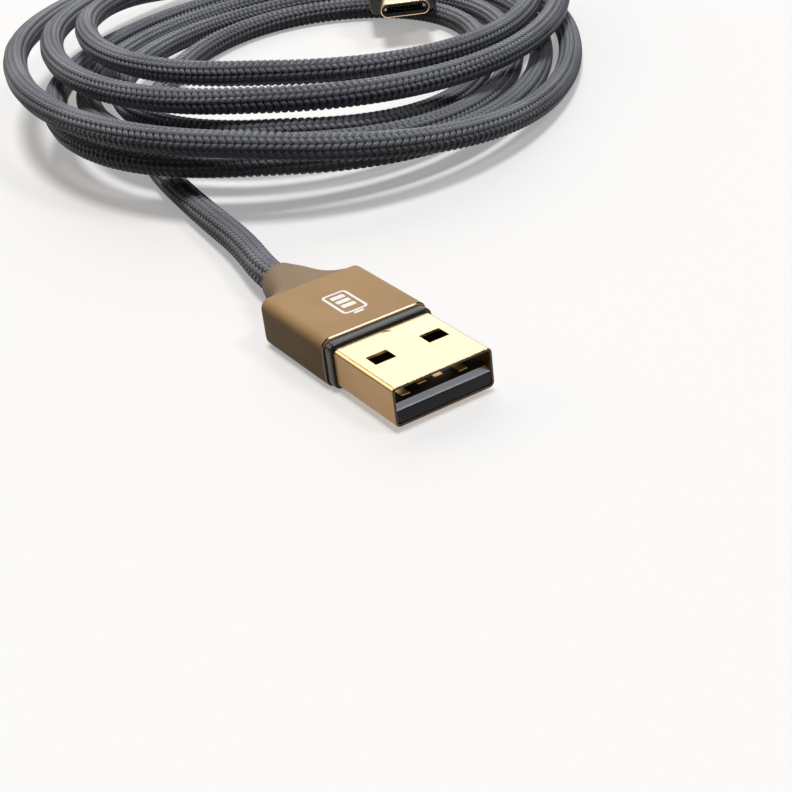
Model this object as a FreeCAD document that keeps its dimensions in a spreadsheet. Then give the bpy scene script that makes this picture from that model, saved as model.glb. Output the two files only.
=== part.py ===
import FreeCAD, Part, Sketcher
import math
import os
import re

Vector = FreeCAD.Vector

# Sizes of the cable in millimetres, each written once.
# a_ is the plug in front and c_ the plug at the far end. Setbacks run back from the mouth of the metal shell.
SIZES = {
    # front plug
    "a_shell_width": 12.0,
    "a_shell_height": 4.5,
    "a_shell_wall": 0.3,
    "a_shell_corner": 0.6,
    "a_shell_exposed": 11.1,
    "a_window_width": 2.5,
    "a_window_length": 2.0,
    "a_window_setback": 5.16,
    "a_window_spread": 6.5,
    "a_dimple_diameter": 1.5,
    "a_dimple_rise": 0.14,
    "a_dimple_setback": 9.9,
    "a_seam_width": 0.1,
    "a_seam_depth": 0.12,
    "a_tongue_recess": 0.1,
    "a_tongue_thickness": 1.84,
    "a_tongue_bevel_length": 0.9,
    "a_tongue_bevel_height": 0.36,
    "a_block_setback": 8.9,
    "a_block_length": 5.0,
    "a_contact_width": 1.0,
    "a_contact_thickness": 0.28,
    "a_contact_rise": 0.06,
    "a_contact_nose": 0.15,
    "a_contact_inner": 1.0,
    "a_contact_outer": 3.5,
    "a_power_contact_setback": 1.6,
    "a_data_contact_setback": 2.4,
    "a_contact_tail": 1.6,
    "a_collar_length": 1.25,
    "a_sleeve_margin": 0.55,
    "a_sleeve_rise": 0.6,
    "a_sleeve_corner": 1.15,
    "a_sleeve_length": 13.1,
    "a_neck_length": 8.0,
    "a_room_length": 1.9,
    "a_room_side": 1.0,
    "a_room_height": 3.6,
    # far plug
    "c_shell_width": 8.25,
    "c_shell_height": 2.4,
    "c_shell_wall": 0.2,
    "c_shell_flat": 0.02,
    "c_shell_exposed": 6.65,
    "c_insulator_recess": 0.2,
    "c_insulator_length": 8.8,
    "c_mouth_side": 0.51,
    "c_mouth_height": 0.98,
    "c_mouth_corner": 0.3,
    "c_mouth_depth": 5.6,
    "c_contact_count": 12,
    "c_contact_pitch": 0.5,
    "c_contact_width": 0.26,
    "c_contact_thickness": 0.14,
    "c_contact_setback": 1.3,
    "c_contact_tail": 1.6,
    "c_latch_thickness": 0.16,
    "c_latch_height": 0.6,
    "c_latch_setback": 0.9,
    "c_latch_hook": 0.3,
    "c_board_gap": 0.2,
    "c_board_side": 0.425,
    "c_board_thickness": 0.7,
    "c_board_length": 4.8,
    "c_resistor_length": 1.0,
    "c_resistor_width": 0.5,
    "c_resistor_height": 0.35,
    "c_pad_spread": 2.4,
    "c_pad_length": 1.6,
    "c_collar_length": 0.9,
    "c_sleeve_margin": 1.575,
    "c_sleeve_skin": 0.15,
    "c_sleeve_corner": 1.15,
    "c_sleeve_length": 14.3,
    "c_neck_length": 8.5,
    "c_room_length": 5.45,
    "c_room_side": 0.425,
    "c_room_height": 3.1,
    # shared by both plugs
    "rim_chamfer": 0.12,
    "collar_step": 0.22,
    "sleeve_wall": 0.32,
    "sleeve_chamfer": 0.2,
    "spigot_length": 2.0,
    "neck_step": 0.25,
    "neck_tip_wall": 0.5,
    "neck_tip_flat": 0.2,
    "conductor_diameter": 0.95,
    "conductor_gap": 0.15,
    "conductor_run": 0.6,
    "conductor_sides": 6,
    "crimp_wall": 0.25,
    "crimp_length": 2.6,
    "crimp_setback": 1.0,
    "jacket_lip": 0.4,
    "fit": 0.04,
    # cable
    "cable_diameter": 3.6,
    "cable_sides": 8,
    "floor_gap": 0.06,
    # pile of loops: how far each side lies from the centre where the winding turns back, and its step per turn
    "coil_centre_x": -84.1,
    "coil_centre_y": 43.7,
    "coil_bearing": 50.0,
    "coil_turns": 6.08,
    "coil_reversal": 3.6,
    "coil_layer": 4.5,
    "coil_fullness": 0.05,
    "low_reach_left": 44.5,
    "low_reach_back": 56.2,
    "low_reach_right": 44.5,
    "low_reach_front": 56.2,
    "low_pitch_left": 5.6,
    "low_pitch_back": 7.0,
    "low_pitch_right": 4.6,
    "low_pitch_front": 5.6,
    "high_reach_left": 51.5,
    "high_reach_back": 76.2,
    "high_reach_right": 44.5,
    "high_reach_front": 52.8,
    "high_pitch_left": 4.6,
    "high_pitch_back": 6.6,
    "high_pitch_right": 4.6,
    "high_pitch_front": 11.5,
    # turns over which the cable climbs to the upper layer, and over which its sides change to that layer's
    "climb_start": 3.48,
    "climb_end": 3.84,
    "shift_start": 3.60,
    "shift_end": 3.95,
    # the front of each loop is bridged over the straight lead, and the upper loops sag behind the lower ones
    "bridge_start": 0.5,
    "bridge_phase": 0.84,
    "bridge_reach": 0.34,
    "bridge_gain": 1.25,
    "sag_phase": 0.20,
    "sag_reach": 0.18,
    "sag_share": 0.93,
    # mouth of the far plug and the bearing of its nose
    "far_plug_x": -85.8,
    "far_plug_y": 64.1,
    "far_plug_z": 6.4,
    "far_plug_bearing": -30.0,
    # straight runs at the ends of the free stretches
    "lead_first_run": 8.0,
    "lead_last_run": 7.0,
    "tail_first_run": 6.0,
    "tail_last_run": 7.5,
}

# Points of the free stretches between their end runs, along the cable.
LEAD_POINTS = [
    (-37.3, 1.7, 2.4),
    (-49.2, 4.1, 1.95),
    (-61.3, 7.0, 1.86),
    (-71.6, 10.0, 1.86),
    (-81.0, 13.3, 1.86),
]
TAIL_POINTS = [
    (-141.4, 57.6, 5.2),
    (-142.8, 66.4, 5.9),
    (-140.8, 74.6, 6.4),
    (-135.0, 80.9, 6.4),
    (-127.0, 83.9, 6.4),
]

# The neck narrows from the sleeve to the cable like a fish tail: share of its length, share of its extra width.
NECK_STATIONS = [(0.0, 1.0), (0.15, 0.575), (0.35, 0.35), (0.7, 0.175), (1.0, 0.0)]

doc = FreeCAD.newDocument("ChargingCable")
sheet = doc.addObject("Spreadsheet::Sheet", "Sizes")
for row, (alias, number) in enumerate(SIZES.items(), start=1):
    sheet.set(f"A{row}", alias)
    sheet.set(f"B{row}", str(number))
    sheet.setAlias(f"B{row}", alias)
doc.recompute()


def words(text):
    """Formula with each size's name turned into a reference to its cell."""
    return re.sub(r"[a-z]\w*", lambda found: "Sizes." + found.group(0), text)


def size(text):
    """Value of a formula of sizes."""
    return float(sheet.evalExpression(words(text)))


def new_body(label):
    part = doc.addObject("PartDesign::Body", label)
    part.Label = label
    part.AllowCompound = True
    return part


def place_front(part, across="0"):
    """Put a piece on the front plug, whose shell points along X and whose sleeve lies on the surface."""
    part.setExpression("Placement.Base.x", words(f"{neck_end('a')}/2"))
    part.setExpression("Placement.Base.y", words(across))
    part.setExpression("Placement.Base.z", words(f"{sleeve_height('a')}/2"))


def place_far(part):
    """Put a piece on the far plug."""
    turn = FreeCAD.Rotation(Vector(0, 0, 1), size("far_plug_bearing"))
    part.Placement = FreeCAD.Placement(Vector(), turn)
    part.setExpression("Placement.Base.x", words("far_plug_x"))
    part.setExpression("Placement.Base.y", words("far_plug_y"))
    part.setExpression("Placement.Base.z", words("far_plug_z"))


def sleeve_width(plug):
    return f"({plug}_shell_width + 2*{plug}_sleeve_margin)"


def sleeve_height(plug):
    """The shell sets the height of the front sleeve, and the crimp ring that of the far one, whose shell is flat."""
    if plug == "a":
        return "(a_shell_height + 2*a_sleeve_rise)"
    return "(cable_diameter + 2*(crimp_wall + c_sleeve_skin + sleeve_wall + 2*fit))"


def sleeve_front(plug):
    return f"({plug}_shell_exposed + {plug}_collar_length)"


def sleeve_back(plug):
    return f"({sleeve_front(plug)} + {plug}_sleeve_length)"


def neck_end(plug):
    return f"({sleeve_back(plug)} + {plug}_neck_length)"


def core_back(plug):
    return f"({sleeve_back(plug)} - spigot_length)"


def crimp_front(plug):
    return f"({core_back(plug)} - crimp_setback - crimp_length)"


def jacket_end(plug):
    return f"({crimp_front(plug)} - jacket_lip)"


def shell_length(plug):
    """The shell reaches back to the room for the wires."""
    return f"({jacket_end(plug)} - {plug}_room_length)"


NECK_TIP = "(cable_diameter + 2*neck_tip_wall)"
NECK_TIP_CORNER = f"({NECK_TIP} - neck_tip_flat)/2"
CONDUCTOR_SPREAD = "(conductor_diameter + conductor_gap)"
FAR_SHELL_CORNER = "(c_shell_height - c_shell_flat)/2"
FAR_MOUTH_WIDTH = "(c_shell_width - 2*(c_shell_wall + fit + c_mouth_side))"


def shell_corner(plug):
    return "a_shell_corner" if plug == "a" else FAR_SHELL_CORNER


def new_sketch(part, name, role, offset):
    """Empty sketch on one of the piece's own origin planes, moved along the plane's normal."""
    sketch = part.newObject("Sketcher::SketchObject", name)
    plane = next(item for item in part.Origin.OriginFeatures if item.Role == role)
    sketch.AttachmentSupport = (plane, "")
    sketch.MapMode = "FlatFace"
    sketch.setExpression("AttachmentOffset.Base.z", words(offset))
    return sketch


def hold(sketch, kind, refs, text):
    """Add a sketch dimension that follows a formula."""
    index = sketch.addConstraint(Sketcher.Constraint(kind, *refs, size(text)))
    sketch.setExpression(f"Constraints[{index}]", words(text))


def add_polygon(sketch, corners):
    """Closed outline with straight sides through corners given as pairs of formulas."""
    first = sketch.GeometryCount
    points = [Vector(size(along), size(up), 0) for along, up in corners]
    count = len(points)
    for index in range(count):
        side = Part.LineSegment(points[index], points[(index + 1) % count])
        sketch.addGeometry(side, False)
    for index in range(count):
        following = first + (index + 1) % count
        sketch.addConstraint(Sketcher.Constraint("Coincident", first + index, 2, following, 1))
    for index, (along, up) in enumerate(corners):
        hold(sketch, "DistanceX", (-1, 1, first + index, 1), along)
        hold(sketch, "DistanceY", (-1, 1, first + index, 1), up)


def add_rectangle(sketch, width, height, along="0", up="0"):
    """Closed rectangle round a centre."""
    left = f"{along} - ({width})/2"
    right = f"{along} + ({width})/2"
    low = f"{up} - ({height})/2"
    high = f"{up} + ({height})/2"
    add_polygon(sketch, [(left, low), (right, low), (right, high), (left, high)])


def polygon_sketch(part, name, role, corners, offset="0"):
    sketch = new_sketch(part, name, role, offset)
    add_polygon(sketch, corners)
    return sketch


def circle_sketch(part, name, diameters, back, role="YZ_Plane", along="0", up="0"):
    """Circles round one centre, on a plane across the plug or on another plane of the piece."""
    sketch = new_sketch(part, name, role, f"-({back})")
    for index, diameter in enumerate(diameters):
        centre = Vector(size(along), size(up), 0)
        sketch.addGeometry(Part.Circle(centre, Vector(0, 0, 1), size(diameter) / 2), False)
        hold(sketch, "DistanceX", (-1, 1, index, 3), along)
        hold(sketch, "DistanceY", (-1, 1, index, 3), up)
        hold(sketch, "Diameter", (index,), diameter)
    return sketch


def rounded_sketch(part, name, width, height, corner, back):
    """Rectangle with round corners across the plug, the distance back from the shell's mouth."""
    sketch = new_sketch(part, name, "YZ_Plane", f"-({back})")
    half_width = size(width) / 2
    half_height = size(height) / 2
    radius = size(corner)
    flat = half_width - radius
    rise = half_height - radius
    sides = [
        ((-flat, -half_height), (flat, -half_height)),
        ((half_width, -rise), (half_width, rise)),
        ((flat, half_height), (-flat, half_height)),
        ((-half_width, rise), (-half_width, -rise)),
    ]
    centres = [(flat, -rise), (flat, rise), (-flat, rise), (-flat, -rise)]
    for index in range(4):
        start, end = sides[index]
        sketch.addGeometry(Part.LineSegment(Vector(*start, 0), Vector(*end, 0)), False)
        circle = Part.Circle(Vector(*centres[index], 0), Vector(0, 0, 1), radius)
        angle = (index - 1) * math.pi / 2
        sketch.addGeometry(Part.ArcOfCircle(circle, angle, angle + math.pi / 2), False)
    for index in range(4):
        line = 2 * index
        sketch.addConstraint(Sketcher.Constraint("Tangent", line, 2, line + 1, 1))
        sketch.addConstraint(Sketcher.Constraint("Tangent", line + 1, 2, (line + 2) % 8, 1))
    for line, level in ((0, "Horizontal"), (2, "Vertical"), (4, "Horizontal"), (6, "Vertical")):
        sketch.addConstraint(Sketcher.Constraint(level, line))
    for arc in (3, 5, 7):
        sketch.addConstraint(Sketcher.Constraint("Equal", 1, arc))
    hold(sketch, "Radius", (1,), corner)
    hold(sketch, "DistanceX", (-1, 1, 2, 1), f"({width})/2")
    hold(sketch, "DistanceX", (-1, 1, 6, 1), f"-({width})/2")
    hold(sketch, "DistanceY", (-1, 1, 0, 1), f"-({height})/2")
    hold(sketch, "DistanceY", (-1, 1, 4, 1), f"({height})/2")
    return sketch


def settle(part, feature, before):
    """Recompute a piece and make sure that its newest feature changed it."""
    doc.recompute()
    part.Tip = feature
    if feature.Shape.isNull() or abs(feature.Shape.Volume - before) < 1e-6:
        raise ValueError(f"{part.Label}: {feature.Name} changed nothing")
    return feature


def volume_of(part):
    doc.recompute()
    return 0.0 if part.Shape.isNull() else part.Shape.Volume


def pad(part, sketch, length, forward=False, both_sides=False):
    """Fill a sketch to a length, backwards along the plug unless told otherwise."""
    before = volume_of(part)
    feature = part.newObject("PartDesign::Pad", sketch.Name + "Pad")
    feature.Profile = sketch
    feature.setExpression("Length", words(length))
    feature.SideType = "Symmetric" if both_sides else "One side"
    feature.Reversed = not forward and not both_sides
    return settle(part, feature, before)


def pocket(part, sketch, length=None, upward=False, both_sides=False):
    """Cut a sketch to a length, or all the way when none is given, backwards unless told otherwise."""
    before = volume_of(part)
    feature = part.newObject("PartDesign::Pocket", sketch.Name + "Pocket")
    feature.Profile = sketch
    if length is None:
        feature.Type = "ThroughAll"
    else:
        feature.setExpression("Length", words(length))
    feature.SideType = "Symmetric" if both_sides else "One side"
    feature.Reversed = upward
    return settle(part, feature, before)


def dress(part, kind, name, edges, amount):
    """Round or chamfer the named edges of the piece."""
    before = volume_of(part)
    base = part.Tip
    feature = part.newObject(f"PartDesign::{kind}", name)
    feature.Base = (base, edges)
    property_name = "Radius" if kind == "Fillet" else "Size"
    feature.setExpression(property_name, words(amount))
    return settle(part, feature, before)


def edges_where(part, accept):
    """Names of the piece's edges whose every end passes a test."""
    doc.recompute()
    names = []
    for index, edge in enumerate(part.Shape.Edges, start=1):
        if all(accept(vertex.Point) for vertex in edge.Vertexes):
            names.append(f"Edge{index}")
    return names


def outline_edges(part, width, height, back):
    """Edges of the outer outline of a tube that isn't placed yet, at a distance back from the shell's mouth."""
    level = -size(back)
    half_width = size(width) / 2
    half_height = size(height) / 2

    def on_outline(point):
        outside = abs(abs(point.y) - half_width) < 1e-4 or abs(abs(point.z) - half_height) < 1e-4
        return outside and abs(point.x - level) < 1e-4

    return edges_where(part, on_outline)


def make_sleeve(plug):
    """Metal sleeve open at both ends, with bright cut edges."""
    part = new_body(f"usb_{plug}_sleeve")
    width = sleeve_width(plug)
    height = sleeve_height(plug)
    corner = f"{plug}_sleeve_corner"
    front = sleeve_front(plug)
    pad(part, rounded_sketch(part, "Outside", width, height, corner, front), f"{plug}_sleeve_length")
    inside = rounded_sketch(part, "Inside", f"{width} - 2*sleeve_wall", f"{height} - 2*sleeve_wall",
                            f"{corner} - sleeve_wall", front)
    pocket(part, inside)
    edges = outline_edges(part, width, height, front) + outline_edges(part, width, height, sleeve_back(plug))
    dress(part, "Chamfer", "CutEdges", edges, "sleeve_chamfer")
    return part


def make_moulding(plug):
    """Black moulding behind the shell: visible collar, seat of the shell, room for the wires, seat of the crimp."""
    part = new_body(f"usb_{plug}_inner_moulding")
    step = "2*collar_step"
    inset = "2*(sleeve_wall + fit)"
    exposed = f"{plug}_shell_exposed"
    collar = rounded_sketch(part, "Collar", f"{sleeve_width(plug)} - {step}", f"{sleeve_height(plug)} - {step}",
                            f"{plug}_sleeve_corner - collar_step", exposed)
    pad(part, collar, f"{plug}_collar_length")
    core = rounded_sketch(part, "Core", f"{sleeve_width(plug)} - {inset}", f"{sleeve_height(plug)} - {inset}",
                          f"{plug}_sleeve_corner - sleeve_wall - fit", sleeve_front(plug))
    pad(part, core, f"{plug}_sleeve_length - spigot_length")
    seat = rounded_sketch(part, "ShellSeat", f"{plug}_shell_width + 2*fit", f"{plug}_shell_height + 2*fit",
                          f"{shell_corner(plug)} + fit", exposed)
    pocket(part, seat, f"{shell_length(plug)} - {exposed}")
    room = rounded_sketch(part, "WireRoom", f"{plug}_shell_width - 2*{plug}_room_side", f"{plug}_room_height",
                          "fit + crimp_wall", shell_length(plug))
    pocket(part, room, f"{plug}_room_length")
    crimp = circle_sketch(part, "CrimpSeat", ["cable_diameter + 2*crimp_wall + 2*fit"], jacket_end(plug))
    pocket(part, crimp, "jacket_lip + crimp_length")
    bore = circle_sketch(part, "CableBore", ["cable_diameter + 2*fit"], core_back(plug) + " - crimp_setback")
    pocket(part, bore)
    return part


def make_neck(plug):
    """Strain relief that narrows from the sleeve to the cable, with a spigot in the sleeve and a bore."""
    part = new_body(f"usb_{plug}_strain_relief")
    sections = []
    for index, (along, extra) in enumerate(NECK_STATIONS):
        width = f"{NECK_TIP} + {extra}*({sleeve_width(plug)} - 2*neck_step - {NECK_TIP})"
        height = f"{NECK_TIP} + {1 - along}*({sleeve_height(plug)} - 2*neck_step - {NECK_TIP})"
        corner = f"{NECK_TIP_CORNER} + {extra}*({plug}_sleeve_corner - neck_step - {NECK_TIP_CORNER})"
        back = f"{sleeve_back(plug)} + {along}*{plug}_neck_length"
        sections.append(rounded_sketch(part, f"Section{index}", width, height, corner, back))
    doc.recompute()
    loft = part.newObject("PartDesign::AdditiveLoft", "Taper")
    loft.Profile = sections[0]
    loft.Sections = sections[1:]
    loft.Ruled = False
    settle(part, loft, 0.0)
    inset = "2*(sleeve_wall + fit)"
    spigot = rounded_sketch(part, "Spigot", f"{sleeve_width(plug)} - {inset}", f"{sleeve_height(plug)} - {inset}",
                            f"{plug}_sleeve_corner - sleeve_wall - fit", sleeve_back(plug))
    pad(part, spigot, "spigot_length", forward=True)
    bore = circle_sketch(part, "Bore", ["cable_diameter + 2*fit"], core_back(plug))
    pocket(part, bore)
    return part


def make_crimp(plug):
    """Metal ring pressed round the end of the jacket."""
    part = new_body(f"usb_{plug}_crimp")
    diameters = ["cable_diameter + 2*crimp_wall", "cable_diameter + fit"]
    ring = circle_sketch(part, "Ring", diameters, crimp_front(plug))
    pad(part, ring, "crimp_length")
    return part


def make_cable_end(plug):
    """End of the jacketed cable inside the plug, from the conductors to the tip of the neck."""
    part = new_body(f"usb_{plug}_cable_end")
    disc = circle_sketch(part, "Jacket", ["cable_diameter"], jacket_end(plug))
    pad(part, disc, f"{neck_end(plug)} - {jacket_end(plug)}")
    return part


def make_front_shell():
    """Folded sheet-metal shell with two windows on each face, a stamped bump and a seam underneath."""
    part = new_body("usb_a_shell")
    wall = "2*a_shell_wall"
    outside = rounded_sketch(part, "Outside", "a_shell_width", "a_shell_height", "a_shell_corner", "0")
    pad(part, outside, shell_length("a"))
    bump = circle_sketch(part, "Bump", ["a_dimple_diameter"], "-(a_shell_height/2 - a_shell_wall)",
                         role="XY_Plane", along="-a_dimple_setback")
    pad(part, bump, "a_shell_wall + a_dimple_rise", forward=True)
    top = size("a_shell_height/2 + a_dimple_rise")
    dress(part, "Fillet", "BumpEdge", edges_where(part, lambda point: abs(point.z - top) < 1e-4),
          "a_dimple_rise - fit/2")
    inside = rounded_sketch(part, "Inside", f"a_shell_width - {wall}", f"a_shell_height - {wall}",
                            "a_shell_corner - a_shell_wall", "0")
    pocket(part, inside)
    windows = new_sketch(part, "Windows", "XY_Plane", "0")
    for side in ("-", ""):
        add_rectangle(windows, "a_window_length", "a_window_width",
                      "-a_window_setback - a_window_length/2", f"{side}a_window_spread/2")
    pocket(part, windows, "2*a_shell_height", both_sides=True)
    seam = new_sketch(part, "Seam", "YZ_Plane", "0")
    add_rectangle(seam, "a_seam_width", "a_seam_depth", up="-a_shell_height/2 + a_seam_depth/2")
    pocket(part, seam)
    rim = outline_edges(part, "a_shell_width", "a_shell_height", "0")
    longer_than_seam = [name for name in rim if part.Shape.getElement(name).Length > 2 * size("a_seam_width")]
    dress(part, "Chamfer", "Rim", longer_than_seam, "rim_chamfer")
    return part


# Heights inside the front plug: underside of the tongue, its contact face and the faces of the contacts
TONGUE_LOW = "(-a_shell_height/2 + a_shell_wall + fit)"
TONGUE_TOP = f"({TONGUE_LOW} + a_tongue_thickness)"
CONTACT_TOP = f"({TONGUE_TOP} + a_contact_rise)"
CONTACT_LOW = f"({CONTACT_TOP} - a_contact_thickness)"
BLOCK_BACK = "(a_block_setback + a_block_length)"


def make_front_insulator():
    """Tongue with a sloping lip, the block behind it and four channels for the contacts."""
    part = new_body("usb_a_insulator")
    lip = "-a_tongue_recess"
    slope_end = "-a_tongue_recess - a_tongue_bevel_length"
    high = f"-{TONGUE_LOW}"
    corners = [
        (lip, TONGUE_LOW),
        (lip, f"{TONGUE_TOP} - a_tongue_bevel_height"),
        (slope_end, TONGUE_TOP),
        ("-a_block_setback", TONGUE_TOP),
        ("-a_block_setback", high),
        (f"-{BLOCK_BACK}", high),
        (f"-{BLOCK_BACK}", TONGUE_LOW),
    ]
    side_view = polygon_sketch(part, "SideView", "XZ_Plane", corners)
    width = "a_shell_width - 2*a_shell_wall - 2*fit"
    pad(part, side_view, width, both_sides=True)
    half_width = size(width) / 2
    low = size(TONGUE_LOW)
    corners_of_shell = edges_where(
        part, lambda point: abs(abs(point.y) - half_width) < 1e-4 and abs(abs(point.z) + low) < 1e-4)
    lengthwise = [name for name in corners_of_shell if abs(part.Shape.getElement(name).tangentAt(0).x) > 0.99]
    dress(part, "Fillet", "ShellCorners", lengthwise, "a_shell_corner - a_shell_wall")
    channel_height = f"{CONTACT_TOP} - {CONTACT_LOW} + 2*fit"
    middle = f"({CONTACT_TOP} + {CONTACT_LOW})/2"
    for name, across, setback in (("PowerChannels", "a_contact_outer", "a_power_contact_setback"),
                                  ("DataChannels", "a_contact_inner", "a_data_contact_setback")):
        channels = new_sketch(part, name, "YZ_Plane", f"fit - {setback}")
        for side in ("-", ""):
            add_rectangle(channels, "a_contact_width + 2*fit", channel_height, f"{side}{across}", middle)
        pocket(part, channels)
    return part


def make_front_contact(label, across, setback):
    """Flat contact with a bent-down nose, from the tongue through the block to its tail."""
    part = new_body(label)
    back = f"-{BLOCK_BACK} - a_contact_tail"
    corners = [
        (f"-{setback}", CONTACT_LOW),
        (f"-{setback}", f"{CONTACT_TOP} - a_contact_nose"),
        (f"-{setback} - a_contact_nose", CONTACT_TOP),
        (back, CONTACT_TOP),
        (back, CONTACT_LOW),
    ]
    pad(part, polygon_sketch(part, "SideView", "XZ_Plane", corners), "a_contact_width", both_sides=True)
    place_front(part, across=across)
    return part


def make_far_shell():
    """Seamless oval shell."""
    part = new_body("usb_c_shell")
    wall = "2*c_shell_wall"
    outside = rounded_sketch(part, "Outside", "c_shell_width", "c_shell_height", FAR_SHELL_CORNER, "0")
    pad(part, outside, shell_length("c"))
    inside = rounded_sketch(part, "Inside", f"c_shell_width - {wall}", f"c_shell_height - {wall}",
                            f"{FAR_SHELL_CORNER} - c_shell_wall", "0")
    pocket(part, inside)
    rim = outline_edges(part, "c_shell_width", "c_shell_height", "0")
    dress(part, "Chamfer", "Rim", rim, "rim_chamfer - fit")
    return part


FAR_CONTACT_LEVEL = "(c_mouth_height/2 - c_contact_thickness/2)"
FAR_INSULATOR_BACK = "(c_insulator_recess + c_insulator_length)"


def make_far_insulator():
    """Plastic body that fills the oval shell, with its mouth, a slot for the latches and the contact channels."""
    part = new_body("usb_c_insulator")
    inset = "2*(c_shell_wall + fit)"
    outside = rounded_sketch(part, "Outside", f"c_shell_width - {inset}", f"c_shell_height - {inset}",
                             f"{FAR_SHELL_CORNER} - c_shell_wall - fit", "c_insulator_recess")
    pad(part, outside, "c_insulator_length")
    mouth = rounded_sketch(part, "Mouth", FAR_MOUTH_WIDTH, "c_mouth_height", "c_mouth_corner",
                           "c_insulator_recess")
    pocket(part, mouth, "c_mouth_depth")
    slot = new_sketch(part, "LatchSlot", "YZ_Plane", "-c_insulator_recess")
    add_rectangle(slot, f"{FAR_MOUTH_WIDTH} + 2*(c_latch_thickness + fit)", "c_latch_height + 2*fit")
    pocket(part, slot, "c_mouth_depth + c_latch_thickness + fit")
    channels = new_sketch(part, "Channels", "YZ_Plane", "-c_contact_setback + fit")
    start = "-c_contact_pitch*(c_contact_count - 1)/2"
    for side in ("-", ""):
        add_rectangle(channels, "c_contact_width + 2*fit", "c_contact_thickness + 2*fit",
                      start, f"{side}{FAR_CONTACT_LEVEL}")
    cut = pocket(part, channels)
    repeat(part, cut, channels)
    return part


def repeat(part, feature, sketch):
    """Repeat a feature across the plug at the pitch of the contacts."""
    before = volume_of(part)
    pattern = part.newObject("PartDesign::LinearPattern", feature.Name + "Row")
    pattern.Originals = [feature]
    pattern.Direction = (sketch, ["H_Axis"])
    pattern.Mode = "Spacing"
    pattern.setExpression("Occurrences", words("c_contact_count"))
    pattern.setExpression("Offset", words("c_contact_pitch"))
    return settle(part, pattern, before)


def make_far_contacts(label, side):
    """Row of flat contacts that end on one face of the board."""
    part = new_body(label)
    strip = new_sketch(part, "Strip", "YZ_Plane", "-c_contact_setback")
    start = "-c_contact_pitch*(c_contact_count - 1)/2"
    add_rectangle(strip, "c_contact_width", "c_contact_thickness", start, f"{side}{FAR_CONTACT_LEVEL}")
    bar = pad(part, strip, f"{FAR_INSULATOR_BACK} + c_contact_tail - c_contact_setback")
    repeat(part, bar, strip)
    return part


def make_latches():
    """Spring with two arms beside the mouth, hooked inwards near its opening and joined at the back."""
    part = new_body("usb_c_latches")
    front = "-c_latch_setback"
    back = "-c_insulator_recess - c_mouth_depth"
    inner = f"{FAR_MOUTH_WIDTH}/2"
    outer = f"({inner} + c_latch_thickness)"
    hook_end = f"{front} - 2*c_latch_hook"
    right_side = [
        (front, outer),
        (front, f"{inner} - c_latch_hook"),
        (f"{front} - c_latch_hook", f"{inner} - c_latch_hook"),
        (hook_end, inner),
        (back, inner),
    ]
    left_side = [(along, f"-({across})") for along, across in reversed(right_side)]
    corners = right_side + left_side
    corners += [(f"{back} - c_latch_thickness", f"-({outer})"), (f"{back} - c_latch_thickness", outer)]
    pad(part, polygon_sketch(part, "TopView", "XY_Plane", corners), "c_latch_height", both_sides=True)
    return part


def make_board():
    """Small circuit board between the contacts and the wires."""
    part = new_body("usb_c_board")
    face = new_sketch(part, "Face", "YZ_Plane", f"-({FAR_INSULATOR_BACK} + c_board_gap)")
    add_rectangle(face, "c_shell_width - 2*(c_shell_wall + c_board_side)", "c_board_thickness")
    pad(part, face, "c_board_length")
    return part


BOARD_BACK = f"({FAR_INSULATOR_BACK} + c_board_gap + c_board_length)"


def make_resistor():
    part = new_body("usb_c_resistor")
    middle = f"-({FAR_INSULATOR_BACK} + c_contact_tail + c_resistor_length)"
    top_view = new_sketch(part, "TopView", "XY_Plane", "c_board_thickness/2")
    add_rectangle(top_view, "c_resistor_width", "c_resistor_length", middle)
    pad(part, top_view, "c_resistor_height", forward=True)
    return part


# Share of the shorter of two neighbouring runs that a bend takes
BEND_SHARE = 0.45


def route(points):
    """Straight runs joined by tangent arcs, and the radii of the arcs."""
    edges = []
    radii = []
    start = points[0]
    for before, corner, after in zip(points, points[1:], points[2:]):
        inward = (corner - before).normalize()
        outward = (after - corner).normalize()
        half_turn = inward.getAngle(outward) / 2
        reach = BEND_SHARE * min((corner - before).Length, (after - corner).Length)
        radii.append(reach / math.tan(half_turn))
        entry = corner - inward * reach
        leave = corner + outward * reach
        chord_middle = (entry + leave) / 2
        towards = (corner - chord_middle).normalize()
        sagitta = radii[-1] * (1 - math.cos(half_turn))
        edges.append(Part.LineSegment(start, entry).toShape())
        edges.append(Part.Arc(entry, chord_middle + towards * sagitta, leave).toShape())
        start = leave
    edges.append(Part.LineSegment(start, points[-1]).toShape())
    return Part.Wire(edges), radii


def tube(path, diameter, sides):
    """Solid of a section with many equal sides swept along a wire, its corners on the given diameter."""
    first = path.Edges[0]
    start = first.valueAt(first.FirstParameter)
    heading = first.tangentAt(first.FirstParameter)
    across = heading.cross(Vector(0, 0, 1)).normalize()
    up = across.cross(heading)
    corners = []
    for index in range(sides + 1):
        angle = 2 * math.pi * (index + 0.5) / sides
        corners.append(start + (across * math.sin(angle) - up * math.cos(angle)) * (diameter / 2))
    shell = Part.BRepOffsetAPI.MakePipeShell(path)
    shell.add(Part.makePolygon(corners))
    shell.build()
    shell.makeSolid()
    return shell.shape()


def new_tube(label, path, diameter, sides):
    """Piece made of a tube, with its volume compared with section times length."""
    part = doc.addObject("Part::Feature", label)
    part.Label = label
    part.Shape = tube(path, diameter, sides)
    part.Placement = FreeCAD.Placement()
    expected = sides / 2 * math.sin(2 * math.pi / sides) * diameter ** 2 / 4 * path.Length
    print(f"{label}: length {path.Length:.1f}, volume over section times length"
          f" {part.Shape.Volume / expected:.4f}")
    return part


def front_placement():
    place = Vector(size(f"{neck_end('a')}/2"), 0, size(f"{sleeve_height('a')}/2"))
    return FreeCAD.Placement(place, FreeCAD.Rotation())


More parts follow.
